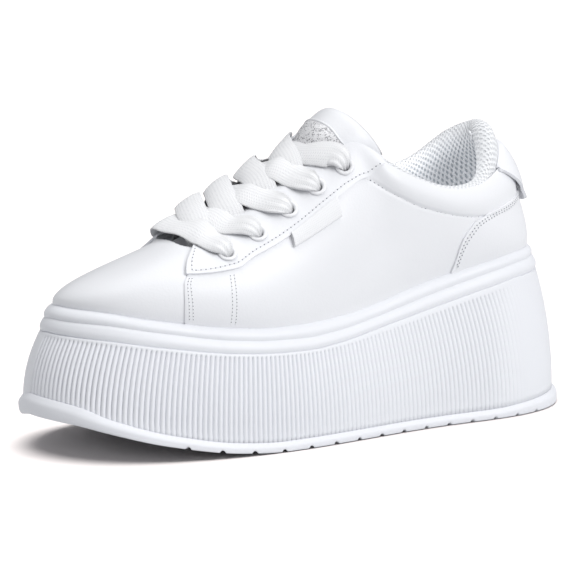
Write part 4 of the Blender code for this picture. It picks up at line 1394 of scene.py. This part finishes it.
def label_points():
    """The ribbon from under the facing, down, round its fold and back up behind itself."""
    where, turn = sheet_of(*LABEL_SPAN, 40, 24)
    edge = by_rows(where, FACING_EDGE) + LABEL_TOP
    span = np.linalg.norm(upper_point(where, 0.7) - upper_point(where, 0.55), axis=-1) / 0.15
    angle = np.pi * np.clip((turn - LABEL_LEG) / (1 - 2 * LABEL_LEG), 0, 1)
    along = np.clip(np.minimum(turn, 1 - turn) / LABEL_LEG, 0, 1)
    rise = edge + (LABEL_FOLD - edge) * along - LABEL_BEND * np.sin(angle) / span
    swell = 0.5 * np.sin(np.pi * along) * (turn < 0.5)
    off = QUARTER_OUT + 0.35 + LABEL_BEND * (1 + np.cos(angle)) + swell
    return upper_point(where, rise, relief(where, rise) + off)


label = laid("side_label", label_points()[::-1], (13.0, 12.0))
thicken(label, 0.55, 0.15)
dress(label, label_cloth, "side_tab", "side_tab")

# %% [markdown]
# ## The tongue
#
# The tongue is leather outside and foam inside, thick in the middle and thin at its edges, and
# its top is rolled over. It is one closed tube of cloth: each row goes across the front and comes
# back behind, and at the top the two faces meet in a round edge.

# %% Tongue
TONGUE_THICK, TONGUE_CROWN = 5.0, 1.2


def tongue_crown(along, across):
    """How much fuller the tongue is near its top, away from its side edges."""
    return TONGUE_CROWN * ease(along, 0.70, 0.86) * np.clip(1 - across**2, 0, 1) ** 0.8


def tongue_loft():
    """The whole tongue: each row runs across the front and comes back behind."""
    rows, columns = 110, 48
    along = np.linspace(0, 1, rows + 1)[:, None]
    front = np.linspace(-1, 1, columns + 1)[None, :]
    top = np.sqrt(np.clip(1 - (np.clip(along - 0.955, 0, 1) / 0.045) ** 2, 0, 1))
    side = np.sqrt(np.clip(1 - np.abs(front) ** 7, 0, 1))
    thick = (1.6 + (TONGUE_THICK - 1.6) * (1 - front**4) * np.clip(along * 5, 0.25, 1)) / 2
    crown = tongue_crown(along, front)
    half, middle = (thick + crown / 2) * top * side, -thick + crown / 2
    outer = tongue_point(along, front, middle + half)
    inner = tongue_point(along, front, middle - half)
    return np.concatenate([outer, inner[:, ::-1][:, 1:]], axis=1)


tongue = laid("tongue_pad", tongue_loft(), (110.0, 110.0))
in_edit_mode(tongue, merge)
dress(tongue, leather, "tongue", "tongue")

# %% [markdown]
# ## Glitter patch
#
# A bare patch of glitter cloth is sewn across the tongue below its top, and a raised fold of
# leather closes its upper edge. Real flakes would be thousands of tiny faces. The patch is a thin
# panel laid on the tongue instead, and its cells, each one flake, come from the material.

# %% Glitter patch
PATCH_SPAN, PATCH_LOW, PATCH_OUT = (-0.92, 0.72), 0.765, 0.35
WELT_SPAN, WELT_LIFT = (-0.95, 0.76), 0.25


def on_tongue(along, across, off):
    """Point above the tongue's crowned face."""
    return tongue_point(along, across, tongue_crown(along, across) + off)


def patch_top(across):
    """Upper edge of the patch, along the tongue."""
    return 0.905 - 0.02 * across**2 - 0.02 * ease(across, 0.3, 0.7)


def patch_points():
    """The patch, from its straight lower edge to its curved upper one."""
    across, share = sheet_of(*PATCH_SPAN, 60, 24)
    return on_tongue(PATCH_LOW + (patch_top(across) - PATCH_LOW) * share, across, PATCH_OUT)


patch = laid("tongue_glitter_patch", patch_points())
thicken(patch, 0.6, 0.2)
dress(patch, glitter, "tongue")


def welt_points():
    """A raised fold of leather along the patch's upper edge."""
    across, turn = np.meshgrid(np.linspace(*WELT_SPAN, 61), np.linspace(0, 2 * np.pi, 13))
    ends = np.sqrt(np.clip(1 - np.abs((across + 0.095) / 0.856) ** 12, 0, 1))
    along = patch_top(across) + 0.0050 * ends * np.cos(turn)
    return on_tongue(along, across, WELT_LIFT + 0.45 * ends * np.sin(turn))


welt = laid("tongue_welt", welt_points()[::-1])
dress(welt, leather, "tongue")

# %% [markdown]
# ## Eyelets
#
# Ten small enamelled rings carry the lace. A ring starts as a circle at the foot of its barrel,
# which is extruded and resized step by step up the barrel, out under the flange, over its rolled
# edge and down again inside. It is modelled once, and each eyelet gets its own copy, turned to
# stand square on the leather.

# %% One eyelet
EYELET_SIDES = 32
EYELET_PROFILE = (
    # radius, height
    (2.55, -4.4),
    (3.10, -4.4),
    (3.10, 0.30),
    (4.20, 0.30),
    (4.62, 0.45),
    (4.66, 0.75),
    (4.35, 1.08),
    (3.85, 1.20),
    (3.30, 1.12),
    (2.85, 0.80),
    (2.62, 0.30),
    (2.55, -0.6),
    (2.55, -4.4),
)


def eyelet_model():
    """One ring, standing on the origin with its axis up."""
    radius, rise = EYELET_PROFILE[0]
    bpy.ops.mesh.primitive_circle_add(vertices=EYELET_SIDES, radius=radius * MM, location=(0, 0, 0))
    ring = bpy.context.object
    ring.name = "eyelet_model"
    bpy.ops.object.mode_set(mode="EDIT")
    bpy.ops.mesh.select_all(action="SELECT")
    bpy.ops.transform.translate(value=(0, 0, rise * MM))
    for (before, low), (after, high) in zip(EYELET_PROFILE, EYELET_PROFILE[1:]):
        bpy.ops.mesh.extrude_edges_move(TRANSFORM_OT_translate={"value": (0, 0, (high - low) * MM)})
        bpy.ops.transform.resize(value=(after / before, after / before, 1.0))
    bpy.ops.mesh.select_all(action="SELECT")
    bpy.ops.mesh.remove_doubles(threshold=5e-6)
    bpy.ops.mesh.normals_make_consistent(inside=False)
    bpy.ops.object.mode_set(mode="OBJECT")
    return ring


def upright(axis, run):
    """Turn that takes Z to axis and X towards run, as columns."""
    across = unit(np.cross(axis, run))
    return np.column_stack([np.cross(across, axis), across, axis])


ring = eyelet_model()
for side, word in SIDES:
    for k, (name, _, _) in enumerate(EYELETS):
        middle, axis = EYELET_SPOTS[k, side]
        copy = bpy.data.objects.new(f"eyelet_ring_{word}_{name}", ring.data.copy())
        bpy.context.scene.collection.objects.link(copy)
        turn = Matrix(upright(axis, np.array([0.0, 1.0, 0.0])).tolist()).to_4x4()
        copy.data.transform(Matrix.Translation(Vector((middle + CENTRE) * MM)) @ turn)
        dress(copy, enamel, "eyelet", f"eyelet_{word}_{name}")
bpy.data.objects.remove(ring)

# %% [markdown]
# ## The lace
#
# A wide flat cotton lace runs straight across between the lowest eyelets, and then crosses four
# times. Each strap comes up through its own eyelet, bunched into pleats, opens out over the edge
# of the facing, crosses the tongue, and ends out of sight by the other facing, one eyelet lower.
# A strap is a lens-shaped section swept along a smooth path, whose width, cup and pleats change
# on the way.

# %% Path of a strap
LACE_WIDTH, LACE_THICK, LACE_NECK = 14.6, 1.15, 4.6
OVER_PATH = (
    # across the tongue, lift and along it, for the strap that lies on top at each crossing
    (-0.45, (11.6, 10.6, 8.6, 4.8), (0.316, 0.471, 0.630, 0.757)),
    (0.05, (7.6, 7.3, 6.6, 5.6), (0.264, 0.408, 0.568, 0.712)),
    (0.34, (4.6, 4.6, 4.4, 3.6), (0.243, 0.376, 0.536, 0.678)),
    (0.52, (1.2, 1.2, 1.0, 0.8), (0.235, 0.358, 0.516, 0.655)),
    (0.74, (0.3, 0.3, 0.3, 0.3), (0.228, 0.346, 0.502, 0.638)),
)
UNDER_PATH = (
    (0.22, (6.0, 6.3, 6.3, 2.6), (0.322, 0.483, 0.640, 0.750)),
    (-0.10, (6.0, 5.8, 4.9, 3.2), (0.300, 0.460, 0.612, 0.735)),
    (-0.40, (7.6, 8.2, 6.4, 3.2), (0.272, 0.420, 0.575, 0.700)),
    (-0.56, (2.6, 2.2, 1.8, 1.0), (0.255, 0.400, 0.548, 0.672)),
    (-0.76, (0.3, 0.3, 0.3, 0.3), (0.240, 0.375, 0.525, 0.648)),
)
BAR_PATH = (
    # across, along, lift
    (0.55, 0.227, 6.2),
    (0.20, 0.206, 6.8),
    (-0.20, 0.195, 8.0),
    (-0.45, 0.195, 9.8),
)


# How far before its eyelet a strap passes the facing's edge, and how far up the rib.
EDGE_STEP = ((0.27, 1.02), (0.27, 1.10), (0.19, 1.10), (0.15, 1.10), (0.25, 1.03))


def natural(x, knots, values):
    """Smooth curve through knots with free ends."""
    knots, values = np.asarray(knots, float), np.asarray(values, float)
    gap, n = np.diff(knots), len(knots)
    matrix, right = np.zeros((n, n)), np.zeros(n)
    rise = np.diff(values) / gap
    matrix[0, 0], matrix[0, 1], right[0] = 2, 1, 3 * rise[0]
    matrix[-1, -1], matrix[-1, -2], right[-1] = 2, 1, 3 * rise[-1]
    for i in range(1, n - 1):
        matrix[i, i - 1], matrix[i, i + 1] = 1 / gap[i - 1], 1 / gap[i]
        matrix[i, i] = 2 * (1 / gap[i - 1] + 1 / gap[i])
        right[i] = 3 * (rise[i - 1] / gap[i - 1] + rise[i] / gap[i])
    slope = np.linalg.solve(matrix, right)
    i = np.clip(np.searchsorted(knots, x, side="right") - 1, 0, n - 2)
    t, h = (x - knots[i]) / gap[i], gap[i]
    return hermite(values[i], values[i + 1], slope[i], slope[i + 1], h, t)


def climb(k, side):
    """Knots out of eyelet k and over the edge of its facing: point, outward direction, width, pleat."""
    middle, axis = EYELET_SPOTS[k, side]
    where = mirrored(EYELETS[k][1] - 0.12, side)
    over = mirrored(EYELETS[k][1] - EDGE_STEP[k][0], side)
    edge = 0.97 if k else 0.90
    ahead = upper_point(where, edge) - middle
    ahead = unit(ahead - axis * (ahead @ axis))
    knots = [
        (middle - axis * 3.6 - ahead * 0.6, -ahead, LACE_NECK * 0.8, 1.0),
        (middle + axis * 0.4 + ahead * 0.2, axis * 0.3 - ahead, LACE_NECK * 1.1, 1.0),
        (middle + axis * 2.2 + ahead * 1.6, axis - ahead * 0.6, LACE_NECK * 1.9, 0.9),
    ]
    face = upper_face(where, min(edge, 0.97))
    knots.append((upper_point(where, edge) + face * (FACING_OUT + 1.6), face, LACE_WIDTH * 0.93, 0.25))
    face = upper_face(over, 1.0)
    high = EDGE_STEP[k][1] - (0.10 if (k, side) == (4, -1) else 0.0)
    knots.append((upper_point(over, high) + face * (FACING_OUT + 1.4), face, LACE_WIDTH, 0.0))
    return knots


def over_tongue(along, across, lift, width):
    """Knot of a strap where it passes over the tongue."""
    point = tongue_point(along, across, lift + LACE_THICK / 2)
    return point, tongue_face(along, across), width, 0.0


def strap_knots(k, side):
    """Knots of the strap that comes out of eyelet k."""
    knots = climb(k, side)
    for across, lift, along in UNDER_PATH if side > 0 else OVER_PATH:
        tucked = 0.85 if abs(across) > 0.7 else 1.0
        top_one = 0.80 if (k, side) == (4, 1) else 1.0
        width = LACE_WIDTH * tucked * top_one
        knots.append(over_tongue(along[k - 1], across, lift[k - 1], width))
    return knots


def bar_knots():
    """Knots of the straight bar, from one lowest eyelet to the other."""
    middle = [over_tongue(along, across, lift, LACE_WIDTH) for across, along, lift in BAR_PATH]
    return climb(0, 1) + middle + climb(0, -1)[::-1]


# %% Sweep the lace along it
LACE_STEP, LACE_SIDE = 0.8, 17  # mm between sections; points across one side of a section


def lace_strap(name, knots, seed, *nodes):
    """One strap: a lens-shaped section swept through its knots."""
    spots = np.array([k[0] for k in knots])
    walked = walk(spots)
    steps = int(walked[-1] / LACE_STEP)
    at = np.linspace(0, walked[-1], steps + 1)
    path = np.stack([natural(at, walked, spots[:, c]) for c in range(3)], axis=1)
    face = np.stack([natural(at, walked, [k[1][c] for k in knots]) for c in range(3)], axis=1)
    width = smooth(at, walked, [k[2] for k in knots])
    pleat = smooth(at, walked, [k[3] for k in knots])
    run = unit(np.gradient(path, axis=0))
    wide = unit(np.cross(face, run))
    face = np.cross(run, wide)
    s = np.sin(np.linspace(-np.pi / 2, np.pi / 2, LACE_SIDE))
    across = np.concatenate([s, s[::-1][1:]])
    upper_side = np.concatenate([np.ones(LACE_SIDE), -np.ones(LACE_SIDE - 1)])
    upper_side[[0, LACE_SIDE - 1, -1]] = 0
    wander = 0.5 * np.sin(at / 7.0 + seed) + 0.3 * np.sin(at / 3.1 + 2.0 * seed)
    section_x = across[None, :] * width[:, None] / 2 + (wander * (1 - pleat))[:, None]
    cup = 0.75 * (width / LACE_WIDTH) ** 2 + 0.15 * np.sin(at / 9.0 + seed)
    fold = 0.55 * pleat[:, None] * np.cos(3.0 * np.pi * across[None, :] + seed)
    ripple = 0.10 * np.sin(at / 2.3 + seed)[:, None] * across[None, :] ** 2
    thick = LACE_THICK * (1 + pleat)
    body = upper_side[None, :] * thick[:, None] / 2 * np.sqrt(1 - 0.75 * np.abs(across) ** 4)[None, :]
    section_z = body + cup[:, None] * (1 - across[None, :] ** 2) - cup[:, None] / 2 + fold + ripple
    sideways = wide[:, None, :] * section_x[..., None]
    upwards = face[:, None, :] * section_z[..., None]
    grid = path[:, None, :] + sideways + upwards
    first, last = (np.repeat(end, len(across), axis=0)[None] for end in (path[:1], path[-1:]))
    sizes = (2 * LACE_WIDTH, walked[-1]), (LACE_WIDTH / 2, 0.0)
    strap = laid(name, np.concatenate([first, grid, last]), *sizes)
    in_edit_mode(strap, merge, lambda: bpy.ops.mesh.normals_make_consistent(inside=False))
    return dress(strap, cotton, "lace", *nodes)


lace_strap("lace_first_bar", bar_knots(), 0.4, "lace_bar")
for k in range(1, len(EYELETS)):
    name = EYELETS[k][0]
    lace_strap(f"lace_{name}_below", strap_knots(k, 1), 1.3 * k, f"lace_cross_{name}")
    lace_strap(f"lace_{name}_over", strap_knots(k, -1), 2.1 * k, f"lace_cross_{name}")

# %% [markdown]
# ## Stitches
#
# Every seam shows its thread: a short stitch, a stitch hole, and the next stitch. One stitch and
# one stitch hole are modelled from a small sphere, and copied along each seam into one mesh for
# the threads and one for the holes. A hole is a dark pellet: painted shade for the shade inside it.
# The padding's seam is pulled tight, so its holes are slots, and the counter's are a little larger.
# A seam is a row of places on the panel that it holds.

# %% One stitch and one needle hole
STITCH_PITCH, STITCH_LONG, STITCH_WIDE = 2.3, 1.65, 0.46
FRONT_PITCH, COUNTER_PITCH = 1.6, 2.0


def pellet(segments, rings, size):
    """Vertices in mm and faces of a small sphere, stretched to size."""
    bpy.ops.mesh.primitive_uv_sphere_add(segments=segments, ring_count=rings, radius=0.5)
    ball = bpy.context.object
    points = np.array([v.co for v in ball.data.vertices]) * size
    faces = [tuple(f.vertices) for f in ball.data.polygons]
    bpy.data.objects.remove(ball)
    return points, faces


STITCH = pellet(8, 5, (STITCH_WIDE, 0.42, STITCH_LONG))
# Shapes of the dark pellets that paint the shade inside the stitch holes.
HOLE = pellet(6, 3, (0.74, 0.26, 0.74))
SLOT = pellet(6, 3, (0.80, 0.30, 1.35))
WIDE_HOLE = pellet(6, 3, (0.85, 0.30, 0.85))


def sewn_row(places, side, off):
    """Points and outward directions along a seam, from places (round, up) on one half."""
    rows = np.array(places, float)
    walked = walk(rows)
    fine = np.linspace(0, walked[-1], 400)
    u = mirrored(np.interp(fine, walked, rows[:, 0]), side)
    v = np.interp(fine, walked, rows[:, 1])
    point = place_of(u, v, off)
    return point, unit(place_of(u, v, off + 1.0) - point)


def copies(rows, model, shift, lift, pitch, scale=1.0):
    """Copy a model along seams; its long side follows the seam, its thin side stands up."""
    shape, shape_faces = model
    shape = shape * scale
    points, faces = [], []
    for path, face in rows:
        walked = walk(path)
        count = int(walked[-1] / pitch)
        step = walked[-1] / count
        for n in range(count):
            at = (n + 0.5 + shift) * step
            if at > walked[-1]:
                continue
            centre = np.array([np.interp(at, walked, path[:, c]) for c in range(3)])
            up = unit(np.array([np.interp(at, walked, face[:, c]) for c in range(3)]))
            ahead = np.array([np.interp(at + 0.3, walked, path[:, c]) for c in range(3)])
            back = np.array([np.interp(at - 0.3, walked, path[:, c]) for c in range(3)])
            run = unit(ahead - back)
            side = np.cross(run, up)
            start = len(points) * len(shape)
            frame_of = np.column_stack([side, up, run])
            points.append(centre + up * lift + shape @ frame_of.T)
            faces += [tuple(start + i for i in f) for f in shape_faces]
    return np.vstack(points), faces


def sewn(name, rows, slot, pitch=STITCH_PITCH, hole=HOLE):
    """The thread of a set of seams, and dark pellets painted with the shade inside its holes."""
    size = min(1.0, pitch / STITCH_PITCH + 0.1)
    # The hole pellets carry painted shade, a dark colour for the shade inside each hole.
    for word, model, shift, lift, material in (
        ("thread", STITCH, 0.0, 0.02, thread),
        ("holes", hole, 0.5, 0.0, needle_shade),
    ):
        points, faces = copies(rows, model, shift, lift, pitch, size)
        mesh = bpy.data.meshes.new(f"{name}_{word}")
        mesh.from_pydata(((points + CENTRE) * MM).tolist(), [], faces)
        piece = bpy.data.objects.new(f"{name}_{word}", mesh)
        bpy.context.scene.collection.objects.link(piece)
        in_edit_mode(piece, lambda: bpy.ops.mesh.normals_make_consistent(inside=False))
        dress(piece, material, slot)


# %% Seams of the upper
FACING_INSET, FACING_LOW = 1.5 / 62.0, 0.085  # from a facing's front and lower edges, as shares


def facing_row(side):
    """Row just inside a facing's front and lower edges."""
    front = [(FACING_INSET, along) for along in np.linspace(0.86, FACING_LOW, 12)]
    lower = [(across, FACING_LOW + 0.04 * across) for across in np.linspace(FACING_INSET, 0.955, 58)]
    shares = np.array(front + lower[1:])
    where, rise = facing_places(shares[:, 0], shares[:, 1])
    return sewn_row(np.column_stack([where, rise]), side, FACING_OUT)


COUNTER_ROW = (
    (7.62, 0.02),
    (7.69, 0.12),
    (7.86, 0.245),
    (8.04, 0.325),
    (8.33, 0.402),
    (8.64, 0.472),
    (9.16, 0.520),
    (9.57, 0.532),
    (10.47, 0.512),
    (11.6, 0.43),
)
facing_seams, front_seams, pad_seams, counter_seams = [], [], [], []
for side in (1, -1):
    facing_seams.append(facing_row(side))
    for inset in (0.055, 0.103):
        row = [(float(by_rows(v, QUARTER_FRONT)) + inset, v) for v in np.linspace(0.015, 0.535, 24)]
        front_seams.append(sewn_row(row, side, QUARTER_OUT))
    for at in (2.02, 2.066):
        front_seams.append(sewn_row([(at, 0.015), (at, 0.535)], side, QUARTER_OUT))
    line = [(w, float(by_rows(w, PAD_LINE))) for w in np.linspace(5.08, 8.84, 50)]
    pad_seams.append(sewn_row(line, side, QUARTER_OUT))
    for drop in (-0.012, 0.016):
        row = [(w + 0.9 * drop, v - drop) for w, v in COUNTER_ROW]
        at = [r[0] for r in row]
        fine = np.linspace(at[0], at[-1], 80)
        rise = smooth(fine, at, [r[1] for r in row])
        counter_seams.append(sewn_row(np.column_stack([fine, rise]), side, COUNTER_OUT))
sewn("facing_seams", facing_seams, "overlay")
sewn("front_seams", front_seams, "upper", FRONT_PITCH)
sewn("pad_seams", pad_seams, "upper", hole=SLOT)
sewn("counter_seams", counter_seams, "overlay", COUNTER_PITCH, WIDE_HOLE)

# %% [markdown]
# ## Floor
#
# A white sheet of paper lies under the shoe, so wide that its edge is out of sight. It could be
# one flat colour, but paper as white as it looks would throw too much light up at the shoe. So
# the camera sees a lighter paper than the one the light bounces off. The floor's lamp lights the
# sheet alone, the inner lamp the lining and footbed alone, and the others leave the sheet out.

# %% Floor
FLOOR_SIZE, FLOOR_DROP = 12.0, 0.0003
BOUNCING_PAPER, SEEN_PAPER = (0.46, 0.462, 0.466, 1), (0.78, 0.735, 0.725, 1)
bpy.ops.mesh.primitive_plane_add(size=FLOOR_SIZE, location=(0, 0, -FLOOR_DROP))
floor = bpy.context.object
floor.name = "floor"
paper, tree, shader, coords = finish_of("floor_paper", (0.90, 0.90, 0.90), 0.9, Specular_IOR_Level=0.1)
fibre = use_group(tree, grain_group, Vector=coords["Object"], Cell=300.0, Depth=1.0)
bumped(tree, shader, fibre["Height"], 0.00001)
seen = tree.nodes.new("ShaderNodeLightPath").outputs["Is Camera Ray"]
paper_tone = mix_colour(tree, seen, BOUNCING_PAPER, SEEN_PAPER)
tree.links.new(paper_tone, shader.inputs["Base Color"])
floor.data.materials.append(paper)
only_for(floor_lamp, floor)
only_for(inner_lamp, lining, insole)
for lamp in shoe_lamps:
    only_for(lamp, floor, leave_out=True)
